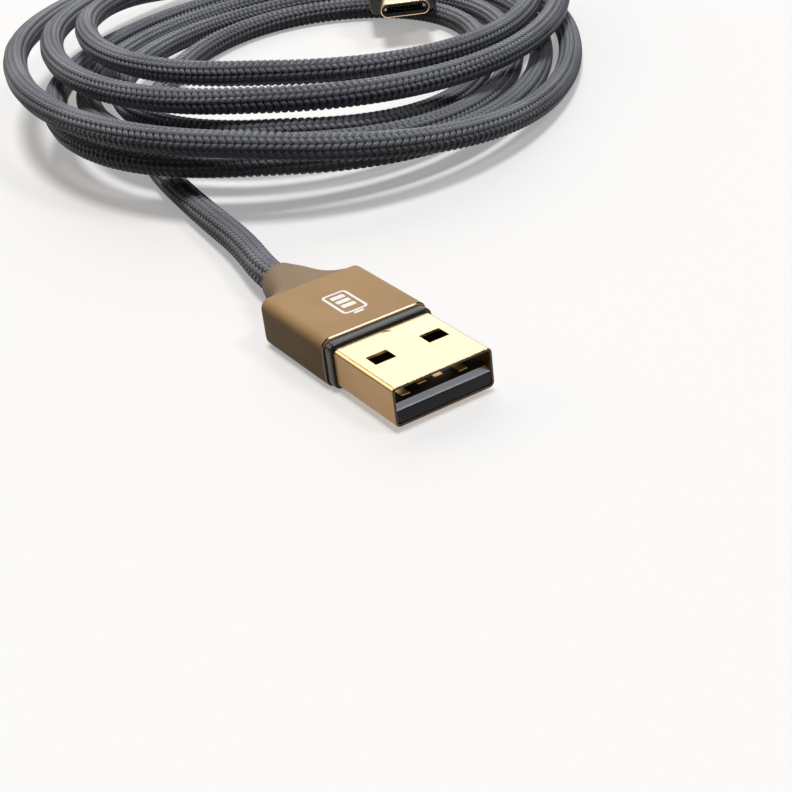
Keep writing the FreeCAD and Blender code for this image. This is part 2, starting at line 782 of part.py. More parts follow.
def far_placement():
    place = Vector(size("far_plug_x"), size("far_plug_y"), size("far_plug_z"))
    return FreeCAD.Placement(place, FreeCAD.Rotation(Vector(0, 0, 1), size("far_plug_bearing")))


def make_conductor(label, start, seat_length, plug, corner, placement):
    """Insulated wire from its soldered seat to its quarter of the cable's end."""
    spread = size(CONDUCTOR_SPREAD) / 2
    end = Vector(-size(jacket_end(plug)), corner[0] * spread, corner[1] * spread)
    points = [
        start,
        start - Vector(size(seat_length), 0, 0),
        end + Vector(size("conductor_run"), 0, 0),
        end,
    ]
    path, _ = route(points)
    part = new_tube(label, path, size("conductor_diameter"), round(size("conductor_sides")))
    part.Placement = placement
    return part


def smooth(value):
    """Step from 0 to 1 that starts and ends without a jerk."""
    x = min(max(value, 0.0), 1.0)
    return x ** 3 * (x * (6 * x - 15) + 10)


def bump(turn, centre, reach):
    """Wave of height 1 round one phase of every turn, and 0 beyond its reach."""
    distance = abs((turn - centre + 0.5) % 1.0 - 0.5)
    return 0.5 + 0.5 * math.cos(math.pi * distance / reach) if distance < reach else 0.0


def coil_point(turn):
    """Centre of the cable after a number of turns of the pile, clockwise from its left side seen from above.

    The loops of the lower layer widen at a steady pitch up to the reversal and those of the upper layer
    narrow again. A loop is an ellipse whose four sides move on their own, so the loops aren't concentric.
    """
    upper = smooth((turn - size("shift_start")) / size("shift_end - shift_start"))
    since = turn - size("coil_reversal")
    reach = {}
    for side in ("left", "back", "right", "front"):
        low = size(f"low_reach_{side}") + size(f"low_pitch_{side}") * since
        high = size(f"high_reach_{side}") - size(f"high_pitch_{side}") * since
        reach[side] = (1 - upper) * low + upper * high
    angle = 2 * math.pi * turn
    fullness = size("coil_fullness") * (1 - upper)
    half_across = (reach["right"] + reach["left"]) / 2
    half_deep = (reach["front"] + reach["back"]) / 2
    across = (reach["right"] - reach["left"]) / 2
    across -= half_across * math.cos(angle) * (1 + fullness * math.sin(angle) ** 2)
    deep = (reach["front"] - reach["back"]) / 2
    deep -= half_deep * math.sin(angle) * (1 + fullness * math.cos(angle) ** 2)
    layer = smooth((turn - size("climb_start")) / size("climb_end - climb_start"))
    layer *= 1 - size("sag_share") * bump(turn, size("sag_phase"), size("sag_reach"))
    if turn > size("bridge_start"):
        layer += min(1.0, size("bridge_gain") * bump(turn, size("bridge_phase"), size("bridge_reach")))
    bearing = math.radians(size("coil_bearing"))
    x = size("coil_centre_x") + across * math.cos(bearing) + deep * math.sin(bearing)
    y = size("coil_centre_y") + across * math.sin(bearing) - deep * math.cos(bearing)
    return Vector(x, y, size("cable_diameter/2 + floor_gap") + size("coil_layer") * layer)


def coil_heading(turn):
    step = 1e-4
    return (coil_point(turn + step) - coil_point(turn - step)).normalize()


def arc_edge(start, corner, end):
    """Arc that touches start-corner and corner-end, whose two legs are equally long."""
    half_turn = (corner - start).getAngle(end - corner) / 2
    weight = math.cos(half_turn)
    middle = (start + end + corner * (2 * weight)) / (2 + 2 * weight)
    radius = (corner - start).Length / math.tan(half_turn)
    return Part.Arc(start, middle, end).toShape(), radius


def biarc(start, heading, end, leaving):
    """Two tangent arcs from one point and direction to another."""
    chord = end - start
    both = heading + leaving
    spread = 2 * (1 - heading.dot(leaving))
    along = chord.dot(both)
    leg = (-along + math.sqrt(along ** 2 + spread * chord.dot(chord))) / spread
    first = start + heading * leg
    second = end - leaving * leg
    joint = (first + second) / 2
    return [arc_edge(start, first, joint), arc_edge(joint, second, end)]


def coil_path():
    """The pile of loops as quarter-turn biarcs between two straight ends one cable diameter long."""
    turns = size("coil_turns")
    quarters = [index / 4 for index in range(math.ceil(turns * 4))] + [turns]
    straight = size("cable_diameter")
    start = coil_point(0.0)
    end = coil_point(turns)
    edges = [Part.LineSegment(start - coil_heading(0.0) * straight, start).toShape()]
    radii = []
    for before, after in zip(quarters, quarters[1:]):
        arcs = biarc(coil_point(before), coil_heading(before), coil_point(after), coil_heading(after))
        for edge, radius in arcs:
            edges.append(edge)
            radii.append(radius)
    edges.append(Part.LineSegment(end, end + coil_heading(turns) * straight).toShape())
    return Part.Wire(edges), radii


def least_gap(path, diameter):
    """Least clear distance between strands, measured on points of the path more than four diameters apart."""
    step = 1.0
    points = path.discretize(Number=int(path.Length / step))
    apart = int(4 * diameter / step)
    cells = {}
    for index, point in enumerate(points):
        cell = (round(point.x / diameter), round(point.y / diameter))
        cells.setdefault(cell, []).append(index)
    least = math.inf
    for (column, line), members in cells.items():
        nearby = [index for across in (-1, 0, 1, 2) for along in (-2, -1, 0, 1, 2)
                  for index in cells.get((column + across, line + along), [])]
        for index in members:
            for other in nearby:
                if abs(other - index) > apart:
                    least = min(least, points[index].distanceToPoint(points[other]))
    return least - diameter


def make_cable():
    """Lead from the front plug, pile of loops and tail to the far plug."""
    diameter = size("cable_diameter")
    coil, coil_radii = coil_path()
    coil_start = coil.Edges[0].Vertexes[0].Point
    coil_end = coil.Edges[-1].Vertexes[-1].Point
    front_tip = front_placement().multVec(Vector(-size(neck_end("a")), 0, 0))
    lead = [front_tip, front_tip - Vector(size("lead_first_run"), 0, 0)]
    lead += [Vector(*point) for point in LEAD_POINTS]
    lead += [coil_start - coil_heading(0.0) * size("lead_last_run"), coil_start]
    far_tip = far_placement().multVec(Vector(-size(neck_end("c")), 0, 0))
    before_far_tip = far_placement().multVec(Vector(-size(neck_end("c")) - size("tail_last_run"), 0, 0))
    tail = [coil_end, coil_end + coil_heading(size("coil_turns")) * size("tail_first_run")]
    tail += [Vector(*point) for point in TAIL_POINTS]
    tail += [before_far_tip, far_tip]
    lead_path, lead_radii = route(lead)
    tail_path, tail_radii = route(tail)
    for name, radii in (("lead", lead_radii), ("coil", coil_radii), ("tail", tail_radii)):
        print(f"{name} radii:", " ".join(f"{radius:.0f}" for radius in radii))
    print(f"least gap between strands of the pile: {least_gap(coil, diameter):.2f}")
    total = lead_path.Length + coil.Length + tail_path.Length
    inside = size(f"{neck_end('a')} - {jacket_end('a')} + {neck_end('c')} - {jacket_end('c')}")
    print(f"cable between the plugs {total:.0f}, with its ends inside the plugs {total + inside:.0f}")
    sides = round(size("cable_sides"))
    return [
        new_tube("cable_lead", lead_path, diameter, sides),
        new_tube("cable_coil", coil, diameter, sides),
        new_tube("cable_tail", tail_path, diameter, sides),
    ]


def make_front_plug():
    pieces = [make_front_shell(), make_front_insulator(), make_sleeve("a"), make_moulding("a"),
              make_neck("a"), make_crimp("a"), make_cable_end("a")]
    for part in pieces:
        place_front(part)
    contacts = [
        ("usb_a_contact_power", "-a_contact_outer", "a_power_contact_setback"),
        ("usb_a_contact_data_minus", "-a_contact_inner", "a_data_contact_setback"),
        ("usb_a_contact_data_plus", "a_contact_inner", "a_data_contact_setback"),
        ("usb_a_contact_ground", "a_contact_outer", "a_power_contact_setback"),
    ]
    pieces += [make_front_contact(*contact) for contact in contacts]
    solder_x = -size(f"{BLOCK_BACK} + fit")
    level = size(f"{CONTACT_TOP} + conductor_diameter/2")
    wires = [
        ("usb_a_wire_power", "-a_contact_outer", (-1, 1)),
        ("usb_a_wire_data_minus", "-a_contact_inner", (-1, -1)),
        ("usb_a_wire_data_plus", "a_contact_inner", (1, -1)),
        ("usb_a_wire_ground", "a_contact_outer", (1, 1)),
    ]
    for label, across, corner in wires:
        start = Vector(solder_x, size(across), level)
        pieces.append(make_conductor(label, start, "a_contact_tail", "a", corner, front_placement()))
    return pieces


def make_far_plug():
    pieces = [make_far_shell(), make_far_insulator(), make_far_contacts("usb_c_contacts_upper", ""),
              make_far_contacts("usb_c_contacts_lower", "-"), make_latches(), make_board(), make_resistor(),
              make_sleeve("c"), make_moulding("c"), make_neck("c"), make_crimp("c"), make_cable_end("c")]
    for part in pieces:
        place_far(part)
    solder_x = -size(f"{BOARD_BACK} - c_pad_length")
    level = size("c_board_thickness/2 + conductor_diameter/2")
    spread = size("c_pad_spread/2")
    wires = [
        ("usb_c_wire_power", (-1, 1)),
        ("usb_c_wire_data_minus", (-1, -1)),
        ("usb_c_wire_data_plus", (1, -1)),
        ("usb_c_wire_ground", (1, 1)),
    ]
    for label, corner in wires:
        start = Vector(solder_x, corner[0] * spread, corner[1] * level)
        pieces.append(make_conductor(label, start, "c_pad_length", "c", corner, far_placement()))
    return pieces


def check(pieces):
    """Refuse a document with a failed object or a piece without a sound shape."""
    for item in doc.Objects:
        if any(word in item.State for word in ("Invalid", "Error")):
            raise ValueError(f"{item.Label} failed: {item.State}")
    for part in pieces:
        if part.Shape.isNull() or not part.Shape.isValid():
            raise ValueError(f"{part.Label} has no sound shape")


pieces = make_front_plug() + make_cable() + make_far_plug()
doc.recompute()
check(pieces)
os.makedirs("parts", exist_ok=True)
for part in pieces:
    part.Shape.exportStep(f"parts/{part.Label}.step")
print(f"{len(pieces)} pieces written")
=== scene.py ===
"""Looks of a braided charging cable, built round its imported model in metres."""

import logging
import math
from dataclasses import dataclass
from enum import Enum
from typing import Any, Optional, Sequence, Union

import bpy
import numpy as np
from mathutils import Matrix, Vector


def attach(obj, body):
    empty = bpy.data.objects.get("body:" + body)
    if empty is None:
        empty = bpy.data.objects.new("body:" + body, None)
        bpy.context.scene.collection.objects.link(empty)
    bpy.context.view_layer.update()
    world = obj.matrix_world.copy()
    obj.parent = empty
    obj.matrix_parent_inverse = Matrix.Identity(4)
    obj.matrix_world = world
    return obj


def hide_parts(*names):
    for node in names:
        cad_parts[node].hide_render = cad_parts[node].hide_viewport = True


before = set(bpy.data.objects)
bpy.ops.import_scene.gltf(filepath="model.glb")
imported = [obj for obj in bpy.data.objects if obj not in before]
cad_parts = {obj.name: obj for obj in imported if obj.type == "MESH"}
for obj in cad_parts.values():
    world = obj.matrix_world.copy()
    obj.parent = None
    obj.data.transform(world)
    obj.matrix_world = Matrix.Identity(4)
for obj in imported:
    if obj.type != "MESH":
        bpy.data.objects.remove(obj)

MM = 0.001
BODY = "root"
LOG = logging.getLogger("charging_cable")

# Less than any length that counts, and the least radius of an outline's corner in millimetres
TINY = 1e-9
LEAST_CORNER = 0.01

# Numbers of the colour mixing node's inputs and output
MIX_SHARE, MIX_FIRST, MIX_SECOND, MIX_RESULT = 0, 6, 7, 2

Colour = tuple[float, float, float]
Point = tuple[float, float, float]
Row = tuple[float, "Outline"]
Piece = bpy.types.Object
Socket = bpy.types.NodeSocket
Value = Union[float, Socket]
Inputs = dict[Union[str, int], Any]
Slots = Union[int, np.ndarray]


def add_object(name: str, data: bpy.types.ID) -> Piece:
    """Put an object with this mesh, curve, light or camera into the scene."""
    thing = bpy.data.objects.new(name, data)
    bpy.context.scene.collection.objects.link(thing)
    return thing


# Shader graphs


@dataclass
class Graph:
    """A node tree that is being wired up, a material's or a group's."""

    tree: bpy.types.NodeTree

    def feed(self, node: bpy.types.Node, inputs: Inputs) -> None:
        """Give a node's inputs a value or another node's output each."""
        for name, value in inputs.items():
            if isinstance(value, Socket):
                self.tree.links.new(value, node.inputs[name])
            else:
                node.inputs[name].default_value = value

    def add(self, kind: str, inputs: Optional[Inputs] = None, **settings: Any) -> bpy.types.Node:
        """Add a node.

        Args:
            kind: the node's type.
            inputs: a value or another node's output for each named input.
            settings: the node's own properties.

        Returns:
            The node.
        """
        node = self.tree.nodes.new(kind)
        for name, value in settings.items():
            setattr(node, name, value)
        self.feed(node, inputs or {})
        return node

    def noise(self, vector: Socket, scale: Socket, detail: float) -> Socket:
        """Add a noise texture and return its value."""
        node = self.add("ShaderNodeTexNoise", {"Vector": vector, "Scale": scale, "Detail": detail})
        return node.outputs["Fac"]

    def remap(self, value: Socket, start: float, end: float, low: float = 0.0,
              high: float = 1.0) -> Socket:
        """Stretch the values from start to end onto those from low to high, and clamp them."""
        wanted = {"Value": value, "From Min": start, "From Max": end, "To Min": low, "To Max": high}
        return self.add("ShaderNodeMapRange", wanted).outputs["Result"]

    def math(self, operation: str, first: Value, second: Value = 0.0) -> Socket:
        """Add one sum and return its result."""
        return self.add("ShaderNodeMath", {0: first, 1: second}, operation=operation).outputs[0]

    def average(self, first: Socket, second: Socket, share: float = 0.5) -> Socket:
        """Average two values: the first counts with a share, the second with the rest."""
        rest = self.math("MULTIPLY", second, 1 - share)
        return self.math("ADD", self.math("MULTIPLY", first, share), rest)


class Pattern(Enum):
    """Surface effects that more than one finish uses, each a node group that gives a mask."""

    GRAIN = "fine_grain"
    HAIRLINES = "hairlines"
    SMUDGES = "smudges"
    FILAMENTS = "filaments"

    def group(self) -> bpy.types.NodeTree:
        """The pattern's node group, made when it is first asked for.

        Returns:
            A group with the inputs Vector and Scale and the output Mask.
        """
        known = bpy.data.node_groups.get(self.value)
        if known:
            return known
        tree = bpy.data.node_groups.new(self.value, "ShaderNodeTree")
        tree.interface.new_socket("Vector", in_out="INPUT", socket_type="NodeSocketVector")
        tree.interface.new_socket("Scale", in_out="INPUT", socket_type="NodeSocketFloat")
        tree.interface.new_socket("Mask", in_out="OUTPUT", socket_type="NodeSocketFloat")
        graph = Graph(tree)
        given = graph.add("NodeGroupInput")
        result = self._mask(graph, given.outputs["Vector"], given.outputs["Scale"])
        graph.add("NodeGroupOutput", {"Mask": result})
        return tree

    def _mask(self, graph: Graph, vector: Socket, scale: Socket) -> Socket:
        """Wire the pattern's mask, from 0 to 1.

        Args:
            graph: the group's graph.
            vector: coordinates in metres, or the yarn's own map.
            scale: how many features a unit of the coordinates holds.

        Returns:
            The mask.
        """
        if self is Pattern.FILAMENTS:
            across = graph.add("ShaderNodeSeparateXYZ", {"Vector": vector}).outputs["Y"]
            turn = graph.math("MULTIPLY", across, graph.math("MULTIPLY", scale, 2 * math.pi))
            return graph.remap(graph.math("COSINE", turn), start=-1.0, end=1.0)
        if self is Pattern.GRAIN:
            coarse_scale, fine_share = 0.37, 0.65
            fine = graph.noise(vector, scale, detail=2.0)
            coarse = graph.noise(vector, graph.math("MULTIPLY", scale, coarse_scale), detail=1.0)
            return graph.remap(graph.average(fine, coarse, fine_share), start=0.3, end=0.7)
        if self is Pattern.HAIRLINES:
            drawn = {0: vector, 1: (0.03, 1.0, 1.0)}
            vector = graph.add("ShaderNodeVectorMath", drawn, operation="MULTIPLY").outputs[0]
        return graph.remap(graph.noise(vector, scale, detail=4.0), start=0.35, end=0.65)


@dataclass(frozen=True)
class Finish:
    """How one material looks. Colours are linear, sizes along the surface are in millimetres.

    The pattern's features have the size of feature and stand up by relief, and slow smudges of
    another size run under them. On a piece's own map, feature is how many lie side by side.
    """

    name: str
    slot: str
    base: Colour
    second: Colour
    roughness: tuple[float, float]
    metallic: float = 0.0
    pattern: Pattern = Pattern.GRAIN
    feature: float = 0.25
    relief: float = 0.004
    smudge: float = 6.0
    specular: float = 0.5
    on_own_map: bool = False

    def material(self) -> bpy.types.Material:
        """The finish as a material, made once.

        Colour and roughness vary together with the smudges and the pattern, and the pattern
        stands in relief.

        Returns:
            The material.
        """
        known = bpy.data.materials.get(self.name)
        if known:
            return known
        material = bpy.data.materials.new(self.name)
        material.use_nodes = True
        material.diffuse_color = (*self.base, 1.0)
        graph = Graph(material.node_tree)
        place = graph.add("ShaderNodeTexCoord")
        where = place.outputs["Object"]
        smudges = self._mask(graph, Pattern.SMUDGES, where, 1 / (self.smudge * MM))
        if self.on_own_map:
            fine = self._mask(graph, self.pattern, place.outputs["UV"], self.feature)
        else:
            fine = self._mask(graph, self.pattern, where, 1 / (self.feature * MM))
        tones = {MIX_SHARE: graph.average(smudges, fine), MIX_FIRST: (*self.base, 1.0),
                 MIX_SECOND: (*self.second, 1.0)}
        smudge_share = 0.6
        dull = graph.average(smudges, fine, smudge_share)
        raised = {"Height": fine, "Strength": 1.0, "Distance": self.relief * MM}
        graph.feed(material.node_tree.nodes["Principled BSDF"], {
            "Base Color": graph.add("ShaderNodeMix", tones, data_type="RGBA").outputs[MIX_RESULT],
            "Roughness": graph.remap(dull, 0.0, 1.0, *self.roughness),
            "Normal": graph.add("ShaderNodeBump", raised).outputs["Normal"],
            "Metallic": self.metallic,
            "Specular IOR Level": self.specular,
        })
        return material

    def _mask(self, graph: Graph, pattern: Pattern, where: Socket, scale: float) -> Socket:
        """Place a pattern's group and return its mask."""
        inputs = {"Vector": where, "Scale": scale}
        return graph.add("ShaderNodeGroup", inputs, node_tree=pattern.group()).outputs["Mask"]


def insulation(colour: str, base: Colour, second: Colour) -> Finish:
    """Finish of one wire's insulation, named after its colour."""
    return Finish(f"wire_{colour}", f"wire_{colour}", base, second, (0.3, 0.42), relief=0.001)


DRAWN_METAL = {"metallic": 1.0, "pattern": Pattern.HAIRLINES}
GOLD_PLATE = Finish("gold_plate", "shell_gold", (0.86, 0.67, 0.43), (0.83, 0.63, 0.38), (0.22, 0.28),
                    feature=0.12, relief=0.0003, **DRAWN_METAL)
# Darker copy of the gold plate for the shell's upright sides: painted shade, so the sides look darker
# than the top.
GOLD_PAINTED_SHADE = Finish("gold_plate_painted_shade", "shell_gold", (0.44, 0.27, 0.125), (0.40, 0.24, 0.105),
                   (0.34, 0.44), feature=0.12, relief=0.0003, **DRAWN_METAL)
# Near-black metal on the inner curl of the shells' rims: painted shade where the rim turns into the dark
# mouth.
RIM_PAINTED_SHADE = Finish("rim_painted_shade", "shell_gold", (0.10, 0.07, 0.05), (0.07, 0.05, 0.04), (0.30, 0.45),
                 metallic=1.0)
ANODISED = Finish("anodised_bronze", "sleeve_bronze", (0.40, 0.256, 0.122), (0.315, 0.197, 0.091),
                  (0.36, 0.46), feature=0.07, relief=0.0035, smudge=9.0, specular=0.06)
BRIGHT_CUT = Finish("bright_cut_edge", "sleeve_bronze", (0.16, 0.13, 0.10), (0.13, 0.105, 0.08),
                    (0.10, 0.18), feature=0.05, relief=0.0003, **DRAWN_METAL)
NECK_MATT = Finish("matt_bronze", "neck_bronze", (0.285, 0.205, 0.126), (0.240, 0.172, 0.105),
                   (0.50, 0.62), feature=0.10, specular=0.15)
BLACK_GLOSS = Finish("black_gloss", "black_gloss", (0.006, 0.006, 0.007), (0.009, 0.009, 0.010),
                     (0.06, 0.12), relief=0.0004, specular=0.07)
BLACK_PLASTIC = Finish("black_plastic", "black_matte", (0.012, 0.012, 0.013), (0.018, 0.018, 0.020),
                       (0.28, 0.40), relief=0.002, specular=0.25)
# Pale blue-white on the black tongue's sloping lip: a painted reflection of bright light, not the
# plastic's own colour.
LIP_PAINTED_REFLECTION = Finish("lip_painted_reflection", "black_matte", (0.80, 0.86, 0.97), (0.72, 0.78, 0.90),
                      (0.20, 0.30), relief=0.0008, specular=0.7)
CONTACT_GOLD = Finish("contact_gold", "contact_gold", (0.85, 0.60, 0.22), (0.80, 0.54, 0.18),
                      (0.12, 0.22), feature=0.08, relief=0.0006, **DRAWN_METAL)
SPRING_STEEL = Finish("spring_steel", "spring_steel", (0.56, 0.56, 0.58), (0.50, 0.50, 0.52),
                      (0.25, 0.38), feature=0.08, relief=0.0008, **DRAWN_METAL)
BOARD_MASK = Finish("board_green", "board_green", (0.010, 0.075, 0.030), (0.012, 0.095, 0.040),
                    (0.22, 0.34), relief=0.002)
CERAMIC = Finish("resistor_black", "resistor_black", (0.014, 0.014, 0.015), (0.020, 0.020, 0.021),
                 (0.35, 0.5))
YARN = Finish("nylon_yarn", "braid", (0.240, 0.252, 0.283), (0.122, 0.128, 0.145), (0.24, 0.32),
              pattern=Pattern.FILAMENTS, feature=3.0, relief=0.02, smudge=14.0, specular=0.14,
              on_own_map=True)
JACKET = Finish("jacket_under_braid", "braid", (0.010, 0.010, 0.011), (0.007, 0.007, 0.008),
                (0.55, 0.7), feature=0.4, relief=0.01)
WHITE_PRINT = Finish("white_print", "sleeve_bronze", (0.80, 0.80, 0.78), (0.76, 0.76, 0.74),
                     (0.40, 0.50), relief=0.001)
WIRES = {
    "power": insulation("red", (0.48, 0.015, 0.012), (0.40, 0.012, 0.010)),
    "data_minus": insulation("white", (0.75, 0.75, 0.73), (0.70, 0.70, 0.68)),
    "data_plus": insulation("green", (0.015, 0.24, 0.05), (0.012, 0.20, 0.04)),
    "ground": insulation("black", (0.010, 0.010, 0.010), (0.014, 0.014, 0.014)),
}


def dress(finish: Finish, node: str) -> None:
    """Give a CAD node a finish."""
    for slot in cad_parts[node].material_slots:
        slot.material = finish.material()
    LOG.info("%s: dressed as %s", node, finish.name)


# Surfaces


def unit(angle: Union[float, np.ndarray]) -> np.ndarray:
    """Unit vectors at angles in radians, on a new last axis."""
    return np.stack([np.cos(angle), np.sin(angle)], axis=-1)


@dataclass(frozen=True)
class Outline:
    """Rectangle with round corners across a plug, in millimetres."""

    width: float
    height: float
    corner: float

    def inset(self, amount: float) -> "Outline":
        """The outline that lies an amount inside this one."""
        return Outline(self.width - 2 * amount, self.height - 2 * amount, self.corner - amount)

    def points(self, steps: int = 8) -> np.ndarray:
        """Points round the outline, seen from the mouth.

        Each corner is a quarter circle. Each side has a point in its middle and one close to
        either corner, so that it shades flat.

        Args:
            steps: how many parts each corner has.

        Returns:
            An array of y and z in millimetres.
        """
        side_shares = np.array([0.04, 0.5, 0.96])[None, :, None]
        turn = np.linspace(0.0, math.pi / 2, steps + 1)
        start = np.arange(4)[:, None] * (math.pi / 2)
        radius = max(self.corner, LEAST_CORNER)
        reach = np.array([self.width, self.height]) / 2 - radius
        arcs = reach * np.sign(unit(start + math.pi / 4)) + radius * unit(start + turn)
        following = np.roll(arcs[:, 0], -1, axis=0)
        sides = arcs[:, -1][:, None] * (1 - side_shares) + following[:, None] * side_shares
        return np.concatenate([arcs, sides], axis=1).reshape(-1, 2)


@dataclass(frozen=True)
class Place:
    """Where a plug lies: its mouth's middle in millimetres and its nose's bearing in degrees."""

    x: float
    y: float
    z: float
    bearing: float

    def put(self, points: np.ndarray) -> np.ndarray:
        """Turn a plug's own points, nose along X and mouth at 0, to their place.

        Args:
            points: an array whose last axis is x, y and z in millimetres.

        Returns:
            The same points in the row frame, in metres.
        """
        turn = math.radians(self.bearing)
        cosine, sine = math.cos(turn), math.sin(turn)
        matrix = np.array([[cosine, -sine, 0.0], [sine, cosine, 0.0], [0.0, 0.0, 1.0]])
        return (points @ matrix.T + np.array([self.x, self.y, self.z])) * MM

    def put_rows(self, backs: Sequence[float], across: np.ndarray) -> np.ndarray:
        """Place rows of points across a plug, each at its own distance behind the mouth.

        Args:
            backs: each row's distance in millimetres.
            across: rows, columns and y, z in millimetres.

        Returns:
            Rows, columns and x, y, z in metres.
        """
        along = np.broadcast_to(-np.reshape(backs, (-1, 1, 1)), (*across.shape[:2], 1))
        return self.put(np.concatenate([along, across], axis=-1))


def cells(values: np.ndarray) -> np.ndarray:
    """Values at the four corners of each cell of a stack of grids, on a new fourth axis."""
    low, high = values[:, :-1], values[:, 1:]
    return np.stack([low[:, :, :-1], low[:, :, 1:], high[:, :, 1:], high[:, :, :-1]], axis=3)


class Draft:
    """A mesh that is being put together from points and faces."""

    def __init__(self) -> None:
        """Start empty."""
        self.points: list[np.ndarray] = []
        self.corners: list[np.ndarray] = []
        self.counts: list[np.ndarray] = []
        self.slots: list[np.ndarray] = []
        self.maps: list[np.ndarray] = []
        self.total = 0

    def add_points(self, points: np.ndarray) -> np.ndarray:
        """Add points in metres and return their numbers in the same arrangement."""
        numbers = self.total + np.arange(points[..., 0].size).reshape(points.shape[:-1])
        self.points.append(points.reshape(-1, 3))
        self.total += numbers.size
        return numbers

    def add_faces(self, corners: np.ndarray, slots: Slots = 0,
                  where: Union[float, np.ndarray] = 0.0) -> None:
        """Add faces between points that are already there.

        Args:
            corners: the points' numbers, one row for each face.
            slots: the material's number, one for all or one for each face.
            where: each corner's place on the piece's own map.
        """
        self.corners.append(corners.reshape(-1))
        self.counts.append(np.full(len(corners), corners.shape[1]))
        self.slots.append(np.broadcast_to(slots, len(corners)))
        self.maps.append(np.broadcast_to(where, (*corners.shape, 2)).reshape(-1, 2))

    def grid(self, points: np.ndarray, closed: tuple[bool, bool], slots: Slots = 0,
             keep: Optional[np.ndarray] = None) -> np.ndarray:
        """Add a grid of four-sided faces.

        Args:
            points: rows, columns and x, y, z in metres.
            closed: whether the last row joins the first, and the last column the first.
            slots: the material's number: one for all, one for each strip or one for each face.
            keep: which faces are wanted, by strip and column.

        Returns:
            The points' numbers, as rows and columns.
        """
        numbers = self.add_points(points)
        joined = np.pad(numbers, ((0, int(closed[0])), (0, int(closed[1]))), mode="wrap")
        corners = cells(joined[None])[0]
        wanted = np.ones(corners.shape[:2], bool) if keep is None else keep
        by_strip = np.reshape(slots, (-1, 1)) if np.ndim(slots) == 1 else slots
        self.add_faces(corners[wanted], np.broadcast_to(by_strip, wanted.shape)[wanted])
        return numbers

    def cap(self, numbers: np.ndarray) -> None:
        """Close both ends of a grid whose columns go round."""
        self.add_faces(np.array([numbers[-1], numbers[0][::-1]]))

    def build(self, name: str, finishes: Sequence[Finish], crease: float = 32.0,
              replaced: Sequence[str] = ()) -> Piece:
        """Turn the draft into a piece that rides on the body.

        Args:
            name: the piece's name.
            finishes: its materials, by number.
            crease: the least angle in degrees at which an edge stays sharp.
            replaced: the CAD nodes that it stands for.

        Returns:
            The piece.
        """
        mesh = bpy.data.meshes.new(name)
        points = np.concatenate(self.points)
        corners = np.concatenate(self.corners)
        counts = np.concatenate(self.counts)
        mesh.vertices.add(len(points))
        mesh.vertices.foreach_set("co", points.astype(np.float32).ravel())
        mesh.loops.add(len(corners))
        mesh.loops.foreach_set("vertex_index", corners.astype(np.int32))
        mesh.polygons.add(len(counts))
        mesh.polygons.foreach_set("loop_start", (np.cumsum(counts) - counts).astype(np.int32))
        mesh.polygons.foreach_set("material_index", np.concatenate(self.slots).astype(np.int32))
        mesh.polygons.foreach_set("use_smooth", np.ones(len(counts), bool))
        if any(finish.on_own_map for finish in finishes):
            chart = mesh.uv_layers.new(name="yarn")
            chart.data.foreach_set("uv", np.concatenate(self.maps).astype(np.float32).ravel())
        mesh.update(calc_edges=True)
        mesh.validate()
        for finish in finishes:
            mesh.materials.append(finish.material())
        mesh.set_sharp_from_angle(angle=math.radians(crease))
        piece = add_object(name, mesh)
        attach(piece, BODY)
        if replaced:
            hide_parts(*replaced)
        LOG.info("%s: %d faces", name, len(counts))
        return piece


def rounding(start: tuple[float, float], end: tuple[float, float], outline: Outline,
             steps: int = 4) -> list[Row]:
    """Rows of a quarter circle that bulges outwards between two points of a profile.

    Args:
        start: distance behind the mouth and inset where the rounding begins.
        end: the same where it ends.
        outline: the outline that the insets are measured from.
        steps: how many parts it has.

    Returns:
        The rows.
    """
    turn = np.linspace(0.0, math.pi / 2, steps + 1)
    early, late = np.sin(turn), 1 - np.cos(turn)
    widening = start[1] > end[1]
    backs = start[0] + (end[0] - start[0]) * (late if widening else early)
    insets = start[1] + (end[1] - start[1]) * (early if widening else late)
    return [(float(back), outline.inset(float(inset))) for back, inset in zip(backs, insets)]


def smooth_values(at: np.ndarray, stations: Sequence[float], values: Sequence[float]) -> np.ndarray:
    """Cubic curve through stations without overshoot.

    The slope at each station is the harmonic mean of the slopes on both sides, as in a monotone
    Hermite curve. The first station has the slope after it and the last half of that before it.

    Args:
        at: where the values are wanted.
        stations: rising places of the known values.
        values: the known values.

    Returns:
        The value at each place.
    """
    x, y = np.array(stations), np.array(values)
    step = np.diff(x)
    slope = np.diff(y) / step
    before, after = slope[:-1], slope[1:]
    inner = np.where(after * before > 0, 2 * after * before / (after + before), 0.0)
    tangent = np.concatenate([[slope[0]], inner, [slope[-1] / 2]])
    index = np.clip(np.searchsorted(x, at, side="right") - 1, 0, len(step) - 1)
    t = (at - x[index]) / step[index]
    return ((2 * t**3 - 3 * t**2 + 1) * y[index] + (t**3 - 2 * t**2 + t) * step[index] * tangent[index]
            + (-2 * t**3 + 3 * t**2) * y[index + 1] + (t**3 - t**2) * step[index] * tangent[index + 1])


# Plugs


